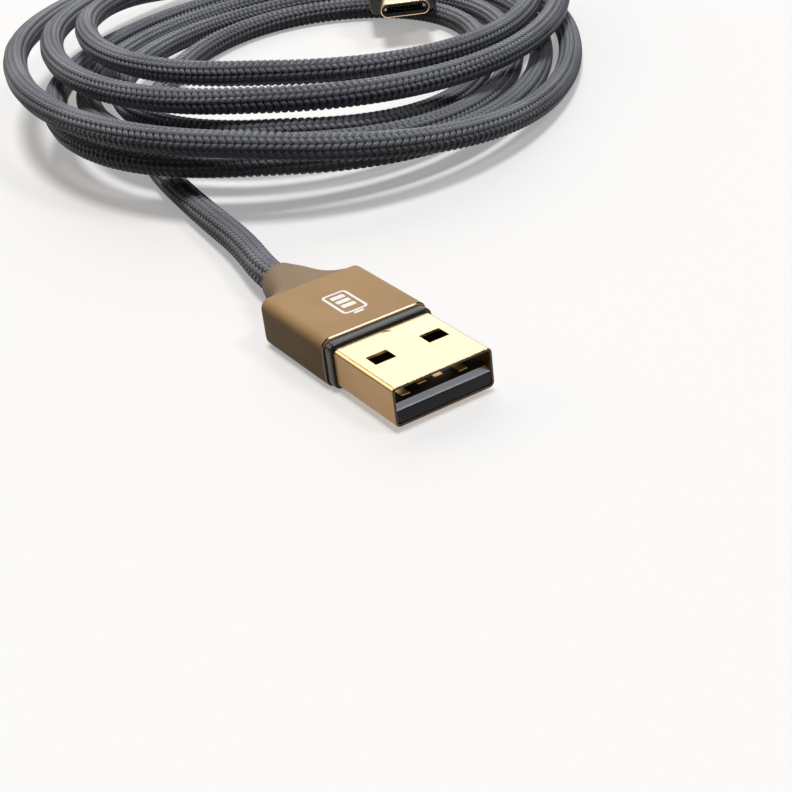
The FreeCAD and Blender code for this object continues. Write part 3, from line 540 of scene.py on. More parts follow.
@dataclass
class Plug:
    """What both plugs share: sleeve, moulding with collar, neck and hidden parts. Millimetres."""

    prefix: str
    place: Place
    shell: Outline
    shell_wall: float
    shell_exposed: float
    shell_length: float
    sleeve: Outline
    collar_length: float
    sleeve_length: float
    neck_length: float
    room: Outline
    sleeve_wall: float = 0.32
    cut_edge: float = 0.2
    collar_step: float = 0.22
    collar_rim: float = 0.16
    neck_step: float = 0.25
    neck_edge: float = 0.12
    neck_lip: float = 0.3
    spigot: float = 2.0
    cable: float = 3.6
    tip: Outline = Outline(4.6, 4.6, 2.2)
    crimp_wall: float = 0.25
    crimp_length: float = 2.6
    crimp_setback: float = 1.0
    jacket_lip: float = 0.4
    fit: float = 0.04

    @property
    def sleeve_front(self) -> float:
        """Distance from the mouth to the sleeve."""
        return self.shell_exposed + self.collar_length

    @property
    def sleeve_back(self) -> float:
        """Distance from the mouth to the neck."""
        return self.sleeve_front + self.sleeve_length

    @property
    def neck_end(self) -> float:
        """Distance from the mouth to the free cable."""
        return self.sleeve_back + self.neck_length

    @property
    def core(self) -> Outline:
        """Outline of what fills the sleeve."""
        return self.sleeve.inset(self.sleeve_wall + self.fit)

    def circle(self, diameter: float) -> Outline:
        """Round outline of a bore."""
        return Outline(diameter, diameter, diameter / 2 - LEAST_CORNER)

    def node(self, name: str) -> str:
        """Full name of one of the plug's nodes."""
        return f"usb_{self.prefix}_{name}"

    def axis(self, backs: Sequence[float]) -> np.ndarray:
        """Points on the plug's axis at distances behind the mouth, in metres."""
        return self.place.put(np.outer(backs, [-1.0, 0.0, 0.0]))

    def stand_in(self, draft: Draft, name: str, finishes: Sequence[Finish],
                 crease: float = 32.0) -> Piece:
        """Turn a draft into a piece that replaces one of the plug's nodes."""
        return draft.build(self.node(name) + "_look", finishes, crease, [self.node(name)])

    def band(self, name: str, rows: Sequence[Row], finishes: Sequence[Finish],
             slots: Slots = 0) -> Piece:
        """Make a ring-shaped piece from a closed profile and let it replace its CAD node.

        Args:
            name: the node's short name.
            rows: distance behind the mouth and outline, round the profile.
            finishes: the piece's materials.
            slots: the material's number, one for all or one for each strip between rows.

        Returns:
            The piece.
        """
        across = np.stack([outline.points() for _, outline in rows])
        draft = Draft()
        draft.grid(self.place.put_rows([back for back, _ in rows], across), (True, True), slots)
        return self.stand_in(draft, name, finishes)

    def shell_profile(self, rim: float, lead: float, stations: Sequence[float] = ()) -> np.ndarray:
        """Profile of the shell's sheet: up the outside, round the rim and back along the inside.

        Args:
            rim: radius of the rim's outer edge.
            lead: radius of its inner edge.
            stations: falling distances behind the mouth where both sides need more points.

        Returns:
            Distance behind the mouth and inset of each point.
        """
        wall, support = self.shell_wall, 0.06
        bend = np.linspace(0.0, math.pi / 2, 5)
        outside = [(back, 0.0) for back in (self.shell_length, *stations, rim + support)]
        inside = [(back, wall) for back in (lead + support, *stations[::-1], self.shell_length)]
        outer_rim = rim * np.column_stack([1 - np.sin(bend), 1 - np.cos(bend)])
        inner_rim = [0.0, wall] + lead * np.column_stack([1 - np.cos(bend), np.sin(bend) - 1])
        return np.concatenate([outside, outer_rim, inner_rim, inside])

    def make_sleeve(self) -> Piece:
        """Metal sleeve: crisp bright cut in front, softly rounded edge at the back."""
        front, back, cut, outer = self.sleeve_front, self.sleeve_back, self.cut_edge, self.sleeve
        support = 0.05
        rows = [
            (front, outer.inset(self.sleeve_wall)),
            (front, outer.inset(cut)),
            (front + cut / 2, outer.inset(cut / 2)),
            (front + cut, outer),
            (front + cut + support, outer),
            (back - cut - support, outer),
            *rounding((back - cut, 0.0), (back, cut), outer),
            (back, outer.inset(self.sleeve_wall)),
        ]
        bright_strip = 2
        return self.band("sleeve", rows, [ANODISED, BRIGHT_CUT], np.arange(len(rows)) == bright_strip)

    def make_moulding(self) -> Piece:
        """Black moulding: polished collar with rounded rims, core in the sleeve and room inside."""
        collar = self.sleeve.inset(self.collar_step)
        seat = self.shell.inset(-self.fit)
        ring = self.circle(self.cable + 2 * (self.crimp_wall + self.fit))
        bore = self.circle(self.cable + 2 * self.fit)
        start, end, rim = self.shell_exposed, self.sleeve_front, self.collar_rim
        core_back = self.sleeve_back - self.spigot
        crimp_back = core_back - self.crimp_setback
        jacket_end = crimp_back - self.crimp_length - self.jacket_lip
        rows = [
            (start, seat),
            *rounding((start, rim), (start + rim, 0.0), collar),
            *rounding((end - rim, 0.0), (end, rim), collar),
            (end, self.core),
            (core_back, self.core),
            (core_back, bore),
            (crimp_back, bore),
            (crimp_back, ring),
            (jacket_end, ring),
            (jacket_end, self.room),
            (self.shell_length, self.room),
            (self.shell_length, seat),
        ]
        return self.band("inner_moulding", rows, [BLACK_GLOSS])

    def make_neck(self) -> Piece:
        """Matt neck that narrows like a fish tail, with a rounded lip round the cable.

        Between its root and its tip, width and corner follow a smooth curve through five stations
        and the height falls in a straight line.
        """
        root, tip, lip, edge = self.sleeve.inset(self.neck_step), self.tip, self.neck_lip, self.neck_edge
        bore = self.circle(self.cable + 2 * self.fit)
        start, end = self.sleeve_back, self.neck_end
        stations, flare = (0.0, 0.15, 0.35, 0.7, 1.0), (1.0, 0.575, 0.35, 0.175, 0.0)
        dense, sparse = np.linspace(0.02, 0.4, 20), np.linspace(0.45, 0.97, 10)
        along = np.concatenate([dense, sparse])
        rows = [(start - self.spigot, self.core), (start, self.core)]
        rows += rounding((start, edge), (start + edge, 0.0), root)[:-1]
        for share, wide in zip(along, smooth_values(along, stations, flare)):
            outline = Outline(tip.width + wide * (root.width - tip.width),
                              tip.height + (1 - share) * (root.height - tip.height),
                              tip.corner + wide * (root.corner - tip.corner))
            rows.append((start + share * self.neck_length, outline))
        rows += rounding((end - lip, 0.0), (end, lip), tip)
        rows += [(end, bore), (start - self.spigot, bore)]
        return self.band("strain_relief", rows, [NECK_MATT])

    def make_shell(self) -> Piece:
        """Metal shell, of another form on each kind of plug."""
        raise NotImplementedError

    def own_finishes(self) -> dict[str, Finish]:
        """Finishes of the hidden parts that only this kind of plug has, by short name."""
        raise NotImplementedError

    def hidden(self) -> dict[str, Finish]:
        """Finish of every node that keeps its CAD shape, by full name."""
        wires = {f"wire_{name}": finish for name, finish in WIRES.items()}
        parts = {**self.own_finishes(), "crimp": SPRING_STEEL, "cable_end": JACKET, **wires}
        return {self.node(name): finish for name, finish in parts.items()}

    def build(self) -> list[Piece]:
        """Dress the hidden nodes and make the plug's pieces.

        Returns:
            The new pieces, without the dressed CAD nodes.
        """
        for name, finish in self.hidden().items():
            dress(finish, name)
        return [self.make_sleeve(), self.make_moulding(), self.make_neck(), self.make_shell()]


@dataclass
class FrontPlug(Plug):
    """Plug in front, with a folded shell, a tongue and four contacts."""

    window_width: float = 2.5
    window_length: float = 2.0
    window_setback: float = 5.16
    window_spread: float = 6.5
    bump_diameter: float = 1.6
    bump_rise: float = 0.09
    bump_setback: float = 9.9
    seam_width: float = 0.1
    seam_depth: float = 0.12
    tongue_recess: float = 0.1
    tongue_thickness: float = 1.84
    slope_length: float = 0.9
    slope_height: float = 0.36
    block_setback: float = 8.9
    block_length: float = 5.0
    print_setback: float = 18.3
    print_height: float = 0.012

    def own_finishes(self) -> dict[str, Finish]:
        """Finishes of the four contacts."""
        return {f"contact_{name}": CONTACT_GOLD for name in WIRES}

    def shell_columns(self) -> tuple[np.ndarray, np.ndarray, np.ndarray]:
        """Points round the shell's outside.

        Four times a corner and the side after it, with more points on top and underneath where
        the windows end and where the seam is.

        Returns:
            The points, the direction in which each moves when the outline is inset, and how far
            each sinks into the seam, as a share of its depth.
        """
        margin, ramp, radius = 0.08, 0.015, self.shell.corner
        half = np.array([self.shell.width, self.shell.height]) / 2
        flat, rise = half - radius
        reach, seam = (self.window_spread + self.window_width) / 2, self.seam_width / 2
        right = np.array([flat - margin, reach, reach - self.window_width])
        top = np.concatenate([right, [0.0], -right[::-1]])
        below = np.concatenate([-right, [-seam, ramp - seam, seam - ramp, seam], right[::-1]])
        side = np.array([margin - rise, rise - margin])
        bend = np.linspace(0.0, math.pi / 2, 9)
        points, headings = [], []
        for quarter, values in enumerate((top, side[::-1], below, side)):
            start = quarter * math.pi / 2
            turned, facing = unit(start + bend), np.round(unit(start + math.pi / 2))
            corner_middle = np.sign(unit(start + math.pi / 4)) * (half - radius)
            side_points = np.tile(facing * half, (len(values), 1))
            side_points[:, quarter % 2] = values
            points += [corner_middle + radius * turned, side_points]
            headings += [turned, np.tile(facing, (len(values), 1))]
        around = np.concatenate(points)
        sunk = (np.abs(around[:, 0]) < seam - ramp / 2) & (around[:, 1] < 0)
        return around, np.concatenate(headings), sunk.astype(float)

    def make_shell(self) -> Piece:
        """Folded shell with a rounded rim, windows, a stamped bump and a seam underneath.

        The grid's rows follow the sheet's profile and its columns go round the plug. Faces in the
        windows are left out, and walls join both sides of the sheet there.
        """
        rim, lead, painted_shade_from = 0.11, 0.05, 0.03
        least_level, least_upright = 0.999, 0.75
        near, far = self.window_setback, self.window_setback + self.window_length
        profile = self.shell_profile(rim, lead, (far, near))
        columns, heading, sunk = self.shell_columns()
        back, inset = profile.T
        across = columns[None] - heading[None] * inset[:, None, None]
        across[..., 1] += sunk[None] * (inset < TINY)[:, None] * self.seam_depth
        level = np.abs(heading[:, 1]) > least_level
        middle = np.abs(columns[:, 0] + np.roll(columns[:, 0], -1)) / 2
        over_window = np.abs(middle - self.window_spread / 2) < self.window_width / 2
        over_window &= level & np.roll(level, -1)
        strip_back = (back + np.roll(back, -1)) / 2
        in_window = (strip_back > near) & (strip_back < far) & (np.abs(inset - np.roll(inset, -1)) < TINY)
        # From this inset on, the rim's inner curl takes the painted shade (slot 1).
        at_rim = (inset > painted_shade_from) & (back < rim)
        upright = np.abs(heading[:, 0]) > least_upright
        # Slot 2 puts the darker painted-shade copy of the gold plate on the upright sides; top and bottom
        # keep the plain gold plate.
        slots = np.where(at_rim[:, None], 1, np.where(upright[None], 2, 0))
        draft = Draft()
        numbers = draft.grid(self.place.put_rows(back, across), (True, True), slots,
                             keep=~(in_window[:, None] & over_window[None]))
        outer, inner = np.flatnonzero(in_window)
        for column in np.flatnonzero(over_window):
            self.add_window_walls(draft, numbers, (outer, inner), column)
        self.add_bump(draft)
        return self.stand_in(draft, "shell", [GOLD_PLATE, RIM_PAINTED_SHADE, GOLD_PAINTED_SHADE])

    @staticmethod
    def add_window_walls(draft: Draft, numbers: np.ndarray, strips: tuple[int, int], column: int) -> None:
        """Join both sides of the sheet round one window.

        Args:
            draft: the mesh.
            numbers: the points of the shell's grid.
            strips: the strips of faces outside and inside that have the window in them.
            column: the grid's column at which the window begins.
        """
        outer, inner = strips
        following = (column + 1) % numbers.shape[1]
        corners = [(0, column), (0, following), (1, following), (1, column)]
        outside = np.array([numbers[outer + step, place] for step, place in corners])
        inside = np.array([numbers[inner + 1 - step, place] for step, place in corners])
        draft.add_faces(np.stack([outside, np.roll(outside, -1), np.roll(inside, -1), inside], axis=-1))

    def add_bump(self, draft: Draft) -> None:
        """Add the stamped bump, a round hill with its rim in the sheet.

        At a share r of its radius, its height is (1 - r²)² of its rise.
        """
        rings, spokes, sunk = 9, 24, 0.02
        share = np.linspace(0.03, 1.0, rings)[:, None]
        angle = np.linspace(0.0, 2 * math.pi, spokes, endpoint=False)[None]
        radius = share * self.bump_diameter / 2
        height = self.shell.height / 2 + self.bump_rise * (1 - share**2) ** 2
        height[-1] -= sunk
        hill = np.stack([-self.bump_setback + radius * np.cos(angle), radius * np.sin(angle),
                         np.broadcast_to(height, (rings, spokes))], axis=-1)
        draft.cap(draft.grid(self.place.put(hill)[::-1], (False, True)))

    def make_tongue(self) -> Piece:
        """Black tongue whose sloping lip is painted pale as a painted reflection, and the block behind
        it.

        A side view with softened edges is carried across the plug and closed at both ends.
        """
        soft, droop, lip_share, softer_share = 0.05, 0.02, 0.4, 0.55
        low = -self.shell.height / 2 + self.shell_wall + self.fit
        top = low + self.tongue_thickness
        foot = top - self.slope_height
        lip, step = -self.tongue_recess, -self.block_setback
        slope_back, back = lip - self.slope_length, step - self.block_length
        profile = np.array([
            (lip, low + soft), (lip, foot - soft), (lip - soft * lip_share, foot),
            (slope_back + soft, top - droop), (slope_back - soft, top), (step + soft, top),
            (step, top + soft), (step, -low - soft), (step - soft, -low), (back, -low), (back, low),
            (lip - soft, low),
        ])
        # The strip of the sloping lip takes the painted reflection.
        reflection_strip = 2
        half = self.shell.width / 2 - self.shell_wall - self.fit
        corner = self.shell.corner - self.shell_wall
        across = np.array([-half, -half + soft, -half + corner, half - corner, half - soft, half])
        shrink = corner * np.array([1.0, softer_share, 0.0, 0.0, softer_share, 1.0])
        grid = np.zeros((len(profile), len(across), 3))
        grid[..., 0] = profile[:, :1]
        grid[..., 1] = across
        grid[..., 2] = np.clip(profile[:, 1:], low + shrink, -low - shrink)
        draft = Draft()
        slots = np.arange(len(profile)) == reflection_strip
        draft.cap(draft.grid(self.place.put(grid), (True, False), slots).T)
        return self.stand_in(draft, "insulator", [BLACK_PLASTIC, LIP_PAINTED_REFLECTION], crease=25.0)

    def make_mark(self) -> Piece:
        """Generic battery sign printed on the sleeve: a rounded frame, its terminal and three bars."""
        frame_edge, frame_hole = Outline(5.2, 3.1, 0.55), Outline(4.56, 2.46, 0.25)
        terminal, terminal_shift = Outline(0.44, 1.2, 0.12), 2.95
        bar, bar_shifts = Outline(0.78, 1.7, 0.14), (-1.42, -0.28, 0.86)
        draft = Draft()
        self.add_patch(draft, 0.0, frame_edge, frame_hole)
        self.add_patch(draft, terminal_shift, terminal)
        for shift in bar_shifts:
            self.add_patch(draft, shift, bar)
        return draft.build("sleeve_battery_mark", [WHITE_PRINT])

    def add_patch(self, draft: Draft, shift: float, outline: Outline,
                  hole: Optional[Outline] = None) -> None:
        """Add a flat patch of print on the sleeve, or a frame where a hole is given.

        Args:
            draft: the mesh.
            shift: how far its middle lies from the sign's, towards the nose.
            outline: its outer edge along x and y.
            hole: the edge of its hole.
        """
        middle, top = np.array([shift - self.print_setback, 0.0]), self.sleeve.height / 2
        levels = [(outline, -self.print_height), (outline, self.print_height)]
        if hole:
            levels += [(hole, self.print_height), (hole, -self.print_height)]
        flat = np.stack([edge.points(steps=4) for edge, _ in levels]) + middle
        heights = np.reshape([top + height for _, height in levels], (-1, 1, 1))
        rings = np.concatenate([flat, np.broadcast_to(heights, (*flat.shape[:2], 1))], axis=-1)
        numbers = draft.grid(self.place.put(rings), (hole is not None, True))
        if hole is None:
            draft.cap(numbers)

    def build(self) -> list[Piece]:
        """Make the plug's pieces.

        Returns:
            The new pieces.
        """
        return [*super().build(), self.make_tongue(), self.make_mark()]


@dataclass
class FarPlug(Plug):
    """Plug at the far end, with a seamless oval shell, two rows of contacts and a small board."""

    def own_finishes(self) -> dict[str, Finish]:
        """Finishes of the insulator, the contacts, the latches and the board."""
        return {"insulator": BLACK_PLASTIC, "contacts_upper": CONTACT_GOLD,
                "contacts_lower": CONTACT_GOLD, "latches": SPRING_STEEL, "board": BOARD_MASK,
                "resistor": CERAMIC}

    def make_shell(self) -> Piece:
        """Oval shell with a rounded rim."""
        rim, lead = 0.09, 0.04
        profile = self.shell_profile(rim, lead)
        rows = [(back, self.shell.inset(inset)) for back, inset in profile]
        # The rim's inner curl takes the painted shade.
        inner_rim = (profile[:, 1] > rim) & (profile[:, 0] < rim)
        return self.band("shell", rows, [GOLD_PLATE, RIM_PAINTED_SHADE], inner_rim)


# Cable


class Lean(Enum):
    """Which way the yarns of one half of the braid go round the cable."""

    CLOCKWISE = 1
    ANTICLOCKWISE = -1


@dataclass
class Pile:
    """Pile of loops, wound as a growing lower layer and a shrinking upper one.

    Lengths are in millimetres, bearing in degrees, everything along the line in turns. The reaches
    are the loop's on its left, back, right and front at the reversal, and each changes by its
    pitch with every turn. Climb and shift are spans of turns. Bridge and sag are a wave's phase
    and reach in turns and its height.
    """

    centre_x: float = -84.1
    centre_y: float = 43.7
    bearing: float = 50.0
    turns: float = 6.08
    reversal: float = 3.6
    layer: float = 4.5
    fullness: float = 0.05
    low_reach: tuple[float, ...] = (41.7, 56.2, 42.7, 56.2)
    low_pitch: tuple[float, ...] = (5.1, 7.0, 4.6, 5.6)
    high_reach: tuple[float, ...] = (49.3, 76.2, 44.5, 52.8)
    high_pitch: tuple[float, ...] = (4.35, 6.6, 4.6, 11.5)
    climb: tuple[float, float] = (3.48, 3.84)
    shift: tuple[float, float] = (3.60, 3.95)
    bridge_start: float = 0.5
    bridge: tuple[float, float, float] = (0.84, 0.34, 1.25)
    sag: tuple[float, float, float] = (0.20, 0.18, 0.93)
    floor: float = 1.92

    @staticmethod
    def step(turn: np.ndarray, span: tuple[float, float]) -> np.ndarray:
        """Step from 0 to 1 over a span of turns that starts and ends without a jerk."""
        x = np.clip((turn - span[0]) / (span[1] - span[0]), 0.0, 1.0)
        return x**3 * (x * (6 * x - 15) + 10)

    @staticmethod
    def wave(turn: np.ndarray, phase: float, reach: float) -> np.ndarray:
        """Wave of height 1 round one phase of every turn, and 0 beyond its reach."""
        distance = np.abs((turn - phase + 0.5) % 1.0 - 0.5)
        return np.where(distance < reach, 0.5 + 0.5 * np.cos(math.pi * distance / reach), 0.0)

    def points(self, turn: np.ndarray) -> np.ndarray:
        """Points of the cable's line after numbers of turns.

        A loop is an ellipse whose left, back, right and front reach change with the turns, each at
        its own pitch. The line climbs to the upper layer once, is bridged over the lead in front of
        every loop and sags behind.

        Args:
            turn: numbers of turns.

        Returns:
            The points in millimetres.
        """
        upper = self.step(turn, self.shift)[:, None]
        since = (turn - self.reversal)[:, None]
        low = np.array(self.low_reach) + np.array(self.low_pitch) * since
        high = np.array(self.high_reach) - np.array(self.high_pitch) * since
        left, back, right, front = ((1 - upper) * low + upper * high).T
        cosine, sine = np.cos(2 * math.pi * turn), np.sin(2 * math.pi * turn)
        fullness = self.fullness * (1 - upper[:, 0])
        across = (right - left) / 2 - (right + left) / 2 * cosine * (1 + fullness * sine**2)
        deep = (front - back) / 2 - (front + back) / 2 * sine * (1 + fullness * cosine**2)
        height = self.step(turn, self.climb) * (1 - self.sag[2] * self.wave(turn, *self.sag[:2]))
        bridged = np.minimum(1.0, self.bridge[2] * self.wave(turn, *self.bridge[:2]))
        height += np.where(turn > self.bridge_start, bridged, 0.0)
        heading = math.radians(self.bearing)
        x = self.centre_x + across * math.cos(heading) + deep * math.sin(heading)
        y = self.centre_y + across * math.sin(heading) - deep * math.cos(heading)
        return np.stack([x, y, self.floor + self.layer * height], axis=-1)

    def heading(self, turn: float) -> np.ndarray:
        """Direction of the line after a number of turns."""
        reach = 1e-4
        before, after = self.points(np.array([turn - reach, turn + reach]))
        return (after - before) / np.linalg.norm(after - before)


class Line:
    """The cable's centreline, read from its spline, with a frame that stays upright."""

    def __init__(self, points: np.ndarray) -> None:
        """Measure the line.

        Args:
            points: points along it in metres, close together.
        """
        spacing, smoothed = 0.5 * MM, 5
        steps = np.linalg.norm(np.diff(points, axis=0), axis=1)
        points = points[np.concatenate([[True], steps > TINY])]
        known = np.concatenate([[0.0], np.cumsum(np.linalg.norm(np.diff(points, axis=0), axis=1))])
        self.length = float(known[-1])
        self.at = np.linspace(0.0, self.length, int(self.length / spacing))
        self.points = np.stack([np.interp(self.at, known, values) for values in points.T], axis=-1)
        slopes = np.gradient(self.points, self.at, axis=0)
        padded = np.pad(slopes, ((smoothed // 2, smoothed // 2), (0, 0)), mode="edge")
        kernel = np.ones(smoothed) / smoothed
        ahead = np.stack([np.convolve(values, kernel, "valid") for values in padded.T], axis=-1)
        ahead /= np.linalg.norm(ahead, axis=1, keepdims=True)
        self.side = np.cross(ahead, np.array([0.0, 0.0, 1.0]))
        self.side /= np.linalg.norm(self.side, axis=1, keepdims=True)
        self.up = np.cross(self.side, ahead)

    def read(self, values: np.ndarray, along: np.ndarray) -> np.ndarray:
        """Read one of the line's own lists of vectors at distances along it."""
        return np.stack([np.interp(along, self.at, one) for one in values.T], axis=-1)

    def around(self, along: np.ndarray, angle: np.ndarray, radius: np.ndarray) -> np.ndarray:
        """Points at distances along the line, angles round it and radii, all arrays of one shape.

        Args:
            along: distance along the line in metres.
            angle: angle round it, 0 at its side and a quarter turn on top.
            radius: distance from it in metres.

        Returns:
            The points in metres.
        """
        side, up = self.read(self.side, along), self.read(self.up, along)
        turned = side * np.cos(angle)[..., None] + up * np.sin(angle)[..., None]
        return self.read(self.points, along) + turned * radius[..., None]


@dataclass
class Cable:
    """Braided cable from the front plug through the pile to the far plug. Millimetres."""

    front: Plug
    far: Plug
    pile: Pile
    diameter: float = 3.8
    jacket_radius: float = 1.57
    jacket_spacing: float = 1.1
    stitch_rows: int = 12
    stitch_pitch: float = 1.0
    yarn_angle: float = 58.0
    stitch_length: float = 1.26
    yarn_width: float = 0.75
    twist_length: float = 700.0
    braid_parts: int = 2
    points_per_turn: int = 30
    lead_first_run: float = 3.0
    lead_last_run: float = 7.0
    tail_first_run: float = 4.5
    tail_last_run: float = 7.5
    lead_points: tuple[Point, ...] = (
        (-30.0, 2.35, 2.45), (-40.0, 3.5, 2.02), (-50.2, 4.6, 1.92),
        (-61.5, 6.2, 1.92), (-72.0, 8.9, 1.92), (-81.0, 12.6, 1.92),
    )
    tail_points: tuple[Point, ...] = (
        (-139.6, 57.8, 6.5), (-142.0, 66.4, 7.0), (-140.6, 74.6, 6.8),
        (-135.0, 80.9, 6.4), (-127.0, 83.9, 6.4),
    )

    def exits(self) -> tuple[np.ndarray, np.ndarray]:
        """The route's first two and last two points, on the plugs' axes, in metres."""
        front, far = self.front, self.far
        return (front.axis([front.neck_end, front.neck_end + self.lead_first_run]),
                far.axis([far.neck_end + self.tail_last_run, far.neck_end]))

    def route(self) -> np.ndarray:
        """The route's points in metres, from the front plug to the far one."""
        front, far = self.exits()
        straight = self.front.cable
        pile = self.pile
        loops = pile.points(np.linspace(0.0, pile.turns, int(pile.turns * self.points_per_turn) + 1))
        before = loops[0] - pile.heading(0.0) * (straight + self.lead_last_run)
        after = loops[-1] + pile.heading(pile.turns) * (straight + self.tail_first_run)
        middle = np.concatenate([self.lead_points, [before], loops, [after], self.tail_points]) * MM
        return np.concatenate([front, middle, far])

    def spline(self) -> Line:
        """Lay a smooth spline on the route and read the cable's line from it.

        Returns:
            The line.
        """
        curve = bpy.data.curves.new("cable_route", "CURVE")
        curve.dimensions = "3D"
        route = self.route()
        spline = curve.splines.new("NURBS")
        spline.points.add(len(route) - 1)
        spline.points.foreach_set("co", np.column_stack([route, np.ones(len(route))]).ravel())
        spline.order_u = 3
        spline.use_endpoint_u = True
        spline.resolution_u = 10
        holder = add_object("cable_route", curve)
        bpy.context.view_layer.update()
        drawn = holder.evaluated_get(bpy.context.evaluated_depsgraph_get())
        mesh = bpy.data.meshes.new_from_object(drawn)
        points = np.zeros(len(mesh.vertices) * 3)
        mesh.vertices.foreach_get("co", points)
        bpy.data.objects.remove(holder)
        bpy.data.curves.remove(curve)
        bpy.data.meshes.remove(mesh)
        return Line(points.reshape(-1, 3))

    def make_jacket(self, line: Line) -> Piece:
        """Dark tube under the braid: circles carried along the line, closed at both ends."""
        circles, sides = int(line.length / (self.jacket_spacing * MM)), 16
        along, angle = np.meshgrid(np.linspace(0.0, line.length, circles),
                                   np.linspace(0.0, 2 * math.pi, sides, endpoint=False), indexing="ij")
        grid = line.around(along, angle, np.full(along.shape, self.jacket_radius * MM))
        draft = Draft()
        draft.cap(draft.grid(grid[::-1], (False, True)))
        sections = ["cable_lead", "cable_coil", "cable_tail"]
        return draft.build("cable_jacket", [JACKET], crease=60.0, replaced=sections)

    def make_braid(self, line: Line, lean: Lean, part: int) -> Piece:
        """One part of the yarns that lean one way, as they show between the crossing ones.

        The braid goes two over two, so that its rows of stitches run along the cable and every other
        row leans the same way. A stitch is a pillow: along it u and across it v run from -1 to 1,
        and the point lies that share of its length and width from its middle, turned by the yarn's
        angle. Its height grows with the root of (1 - u²)(1 - v²), with both squares a little
        lessened, from just inside the jacket to the cable's surface.

        Args:
            line: the cable's line.
            lean: which way the yarns go.
            part: number of the part of the cable's length, from 0.

        Returns:
            The piece.
        """
        pitch, radius, jacket = self.stitch_pitch * MM, self.diameter / 2 * MM, self.jacket_radius * MM
        rows = np.arange(0 if lean is Lean.CLOCKWISE else 1, self.stitch_rows, 2)
        start, end = (line.length * share / self.braid_parts for share in (part, part + 1))
        steps = np.arange(math.ceil(start / pitch), math.ceil(end / pitch))
        row, step = (values.ravel() for values in np.meshgrid(rows, steps, indexing="ij"))
        u = np.array([-1.0, -0.55, 0.0, 0.55, 1.0])[None, :, None]
        v = np.array([-1.0, -0.5, 0.5, 1.0])[None, None, :]
        angle = math.radians(self.yarn_angle)
        half_length, half_width = self.stitch_length / 2 * MM, self.yarn_width / 2 * MM
        ahead = u * math.cos(angle) * half_length - v * math.sin(angle) * half_width
        round_it = u * math.sin(angle) * half_length + v * math.cos(angle) * half_width
        along = (step * pitch)[:, None, None] + ahead
        turn = (2 * math.pi * row / self.stitch_rows)[:, None, None] + lean.value * round_it / radius
        along, turn = np.broadcast_arrays(np.clip(along, 0.0, line.length), turn)
        turn = turn + 2 * math.pi * along / (self.twist_length * MM)
        end_fall, side_fall, sunk = 0.96, 0.92, 0.25
        rise = np.sqrt((1 - end_fall * u**2) * (1 - side_fall * v**2))
        height = jacket + (radius - jacket) * ((1 + sunk) * rise - sunk)
        points = line.around(along, turn, np.broadcast_to(height, along.shape))
        if lean is Lean.CLOCKWISE:
            points = points[:, :, ::-1]
        return self.build_stitches(points, f"braid_{lean.name.lower()}_{part + 1}")

    def build_stitches(self, points: np.ndarray, name: str) -> Piece:
        """Join stitches to one mesh.

        Args:
            points: stitch, place along it, place across it and x, y, z.
            name: the piece's name.

        Returns:
            The piece.
        """
        draft = Draft()
        numbers = draft.add_points(points)
        length, width = numbers.shape[1:]
        shares = np.meshgrid(np.linspace(0, 1, length), np.linspace(0, 1, width), indexing="ij")
        chart = np.broadcast_to(np.stack(shares, axis=-1), (*numbers.shape, 2))
        draft.add_faces(cells(numbers).reshape(-1, 4), where=cells(chart).reshape(-1, 4, 2))
        return draft.build(name, [YARN], crease=180.0)

    def build(self, far_pieces: Sequence[Piece]) -> None:
        """Args:
            far_pieces: the new pieces of the far plug, which lies on the cable's end. It is not used.
        """
        line = self.spline()
        jacket = self.make_jacket(line)
        braid = [self.make_braid(line, lean, part) for lean in Lean for part in range(self.braid_parts)]
        kept = list(self.far.hidden())
        front, _ = self.exits()
        LOG.info("cable: %.0f mm along its line", line.length / MM)


# Studio


def direction(azimuth: float, elevation: float) -> Vector:
    """Direction from the object towards an azimuth and an elevation in degrees."""
    turn, lift = math.radians(azimuth), math.radians(elevation)
    return Vector((math.cos(turn) * math.cos(lift), math.sin(turn) * math.cos(lift), math.sin(lift)))


@dataclass(frozen=True)
class Lamp:
    """Soft round light from far away: where it stands and how wide it looks, in degrees."""

    name: str
    azimuth: float
    elevation: float
    width: float
    radiance: float
    colour: Colour = (1.0, 1.0, 1.0)

    def hang(self) -> None:
        """Add the lamp.

        A disc of radiance L and half width w lights a face towards it with L times pi sin² w.
        """
        data = bpy.data.lights.new(self.name, "SUN")
        data.angle = math.radians(self.width)
        data.energy = self.radiance * math.pi * math.sin(data.angle / 2) ** 2
        data.color = self.colour
        lamp = add_object(self.name, data)
        lamp.rotation_mode = "QUATERNION"
        lamp.rotation_quaternion = direction(self.azimuth, self.elevation).to_track_quat("Z", "Y")


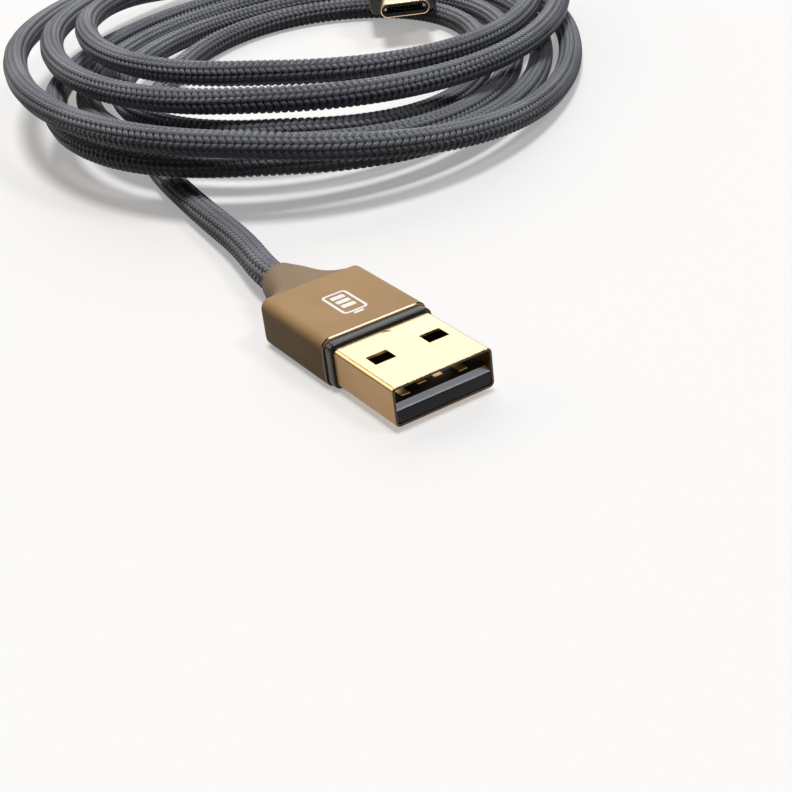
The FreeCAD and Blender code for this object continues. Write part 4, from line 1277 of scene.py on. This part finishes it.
@dataclass
class Studio:
    """Camera at the photograph's viewing angle, pale floor and soft light.

    Angles are in degrees, the location and the floor's size in metres, lens and sensor in
    millimetres.
    """

    location: Point = (0.12554, -0.06786, 0.07710)
    azimuth: float = -29.773
    elevation: float = 30.176
    roll: float = -7.171
    lens: float = 68.18
    sensor: float = 36.0
    clip: tuple[float, float] = (0.005, 20.0)
    floor_size: float = 200.0
    floor_seen: float = 0.545
    floor_glow: float = 0.33
    floor_bounce: float = 0.03
    world_colour: Colour = (0.95, 0.97, 1.0)
    world_level: float = 0.025
    lamps: tuple[Lamp, ...] = (
        Lamp("overhead", 330.0, 89.0, 16.0, 37.0, (1.0, 0.99, 0.98)),
        Lamp("window", 150.0, 32.0, 56.0, 1.7, (0.99, 0.99, 1.0)),
        Lamp("corner", 208.0, 26.0, 32.0, 2.3, (1.0, 0.80, 0.60)),
        Lamp("key", 40.0, 53.0, 15.0, 12.0),
    )

    def make_camera(self) -> None:
        """Place the camera, which looks back along its direction and is rolled about it."""
        turn, roll = math.radians(self.azimuth), math.radians(self.roll)
        back = direction(self.azimuth, self.elevation)
        right = Vector((-math.sin(turn), math.cos(turn), 0.0))
        up = back.cross(right)
        rolled = right * math.cos(roll) + up * math.sin(roll)
        upright = up * math.cos(roll) - right * math.sin(roll)
        data = bpy.data.cameras.new("camera")
        data.lens = self.lens
        data.sensor_width = self.sensor
        data.clip_start, data.clip_end = self.clip
        camera = add_object("camera", data)
        turned = Matrix((rolled, upright, back)).transposed().to_4x4()
        camera.matrix_world = Matrix.Translation(self.location) @ turned
        bpy.context.scene.camera = camera

    def make_floor(self) -> None:
        """Lay the floor, a level square of pale matt material that throws little light back."""
        half = self.floor_size / 2
        corners = [(-half, -half, 0.0), (half, -half, 0.0), (half, half, 0.0), (-half, half, 0.0)]
        mesh = bpy.data.meshes.new("floor")
        mesh.from_pydata(corners, [], [(0, 1, 2, 3)])
        material = bpy.data.materials.new("floor")
        material.use_nodes = True
        graph = Graph(material.node_tree)
        rays = graph.add("ShaderNodeLightPath").outputs
        mirrored = graph.math("MAXIMUM", rays["Is Glossy Ray"], rays["Is Transmission Ray"])
        shown = graph.math("MAXIMUM", rays["Is Camera Ray"], mirrored)
        graph.feed(material.node_tree.nodes["Principled BSDF"], {
            "Base Color": graph.remap(shown, 0.0, 1.0, self.floor_bounce, self.floor_seen),
            "Emission Strength": graph.math("MULTIPLY", shown, self.floor_glow),
            "Emission Color": (1.0, 1.0, 1.0, 1.0),
            "Roughness": 0.9,
            "Specular IOR Level": 0.1,
        })
        mesh.materials.append(material)
        floor = add_object("floor", mesh)

    def build(self) -> None:
        """Set up camera, floor, lamps and world."""
        self.make_camera()
        self.make_floor()
        for lamp in self.lamps:
            lamp.hang()
        world = bpy.data.worlds.new("world")
        world.use_nodes = True
        glow = {"Color": (*self.world_colour, 1.0), "Strength": self.world_level}
        Graph(world.node_tree).feed(world.node_tree.nodes["Background"], glow)
        scene = bpy.context.scene
        scene.world = world
        scene.view_settings.view_transform = "Standard"


def main() -> None:
    logging.basicConfig(level=logging.INFO, format="%(message)s")
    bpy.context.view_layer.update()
    front = FrontPlug(
        prefix="a", place=Place(16.725, 0.0, 2.85, 0.0), shell=Outline(12.0, 4.5, 0.6), shell_wall=0.3,
        shell_exposed=11.1, shell_length=17.55, sleeve=Outline(13.1, 5.7, 1.15), collar_length=1.25,
        sleeve_length=13.1, neck_length=8.0, room=Outline(10.0, 3.6, 0.29))
    far = FarPlug(
        prefix="c", place=Place(-85.8, 64.1, 6.4, -30.0), shell=Outline(8.25, 2.4, 1.19), shell_wall=0.2,
        shell_exposed=6.65, shell_length=10.4, sleeve=Outline(11.4, 5.2, 1.15), collar_length=0.9,
        sleeve_length=14.3, neck_length=8.5, room=Outline(7.4, 3.1, 0.29))
    Studio().build()
    front.build()
    far_pieces = far.build()
    Cable(front, far, Pile()).build(far_pieces)


if __name__ == "__main__":
    main()
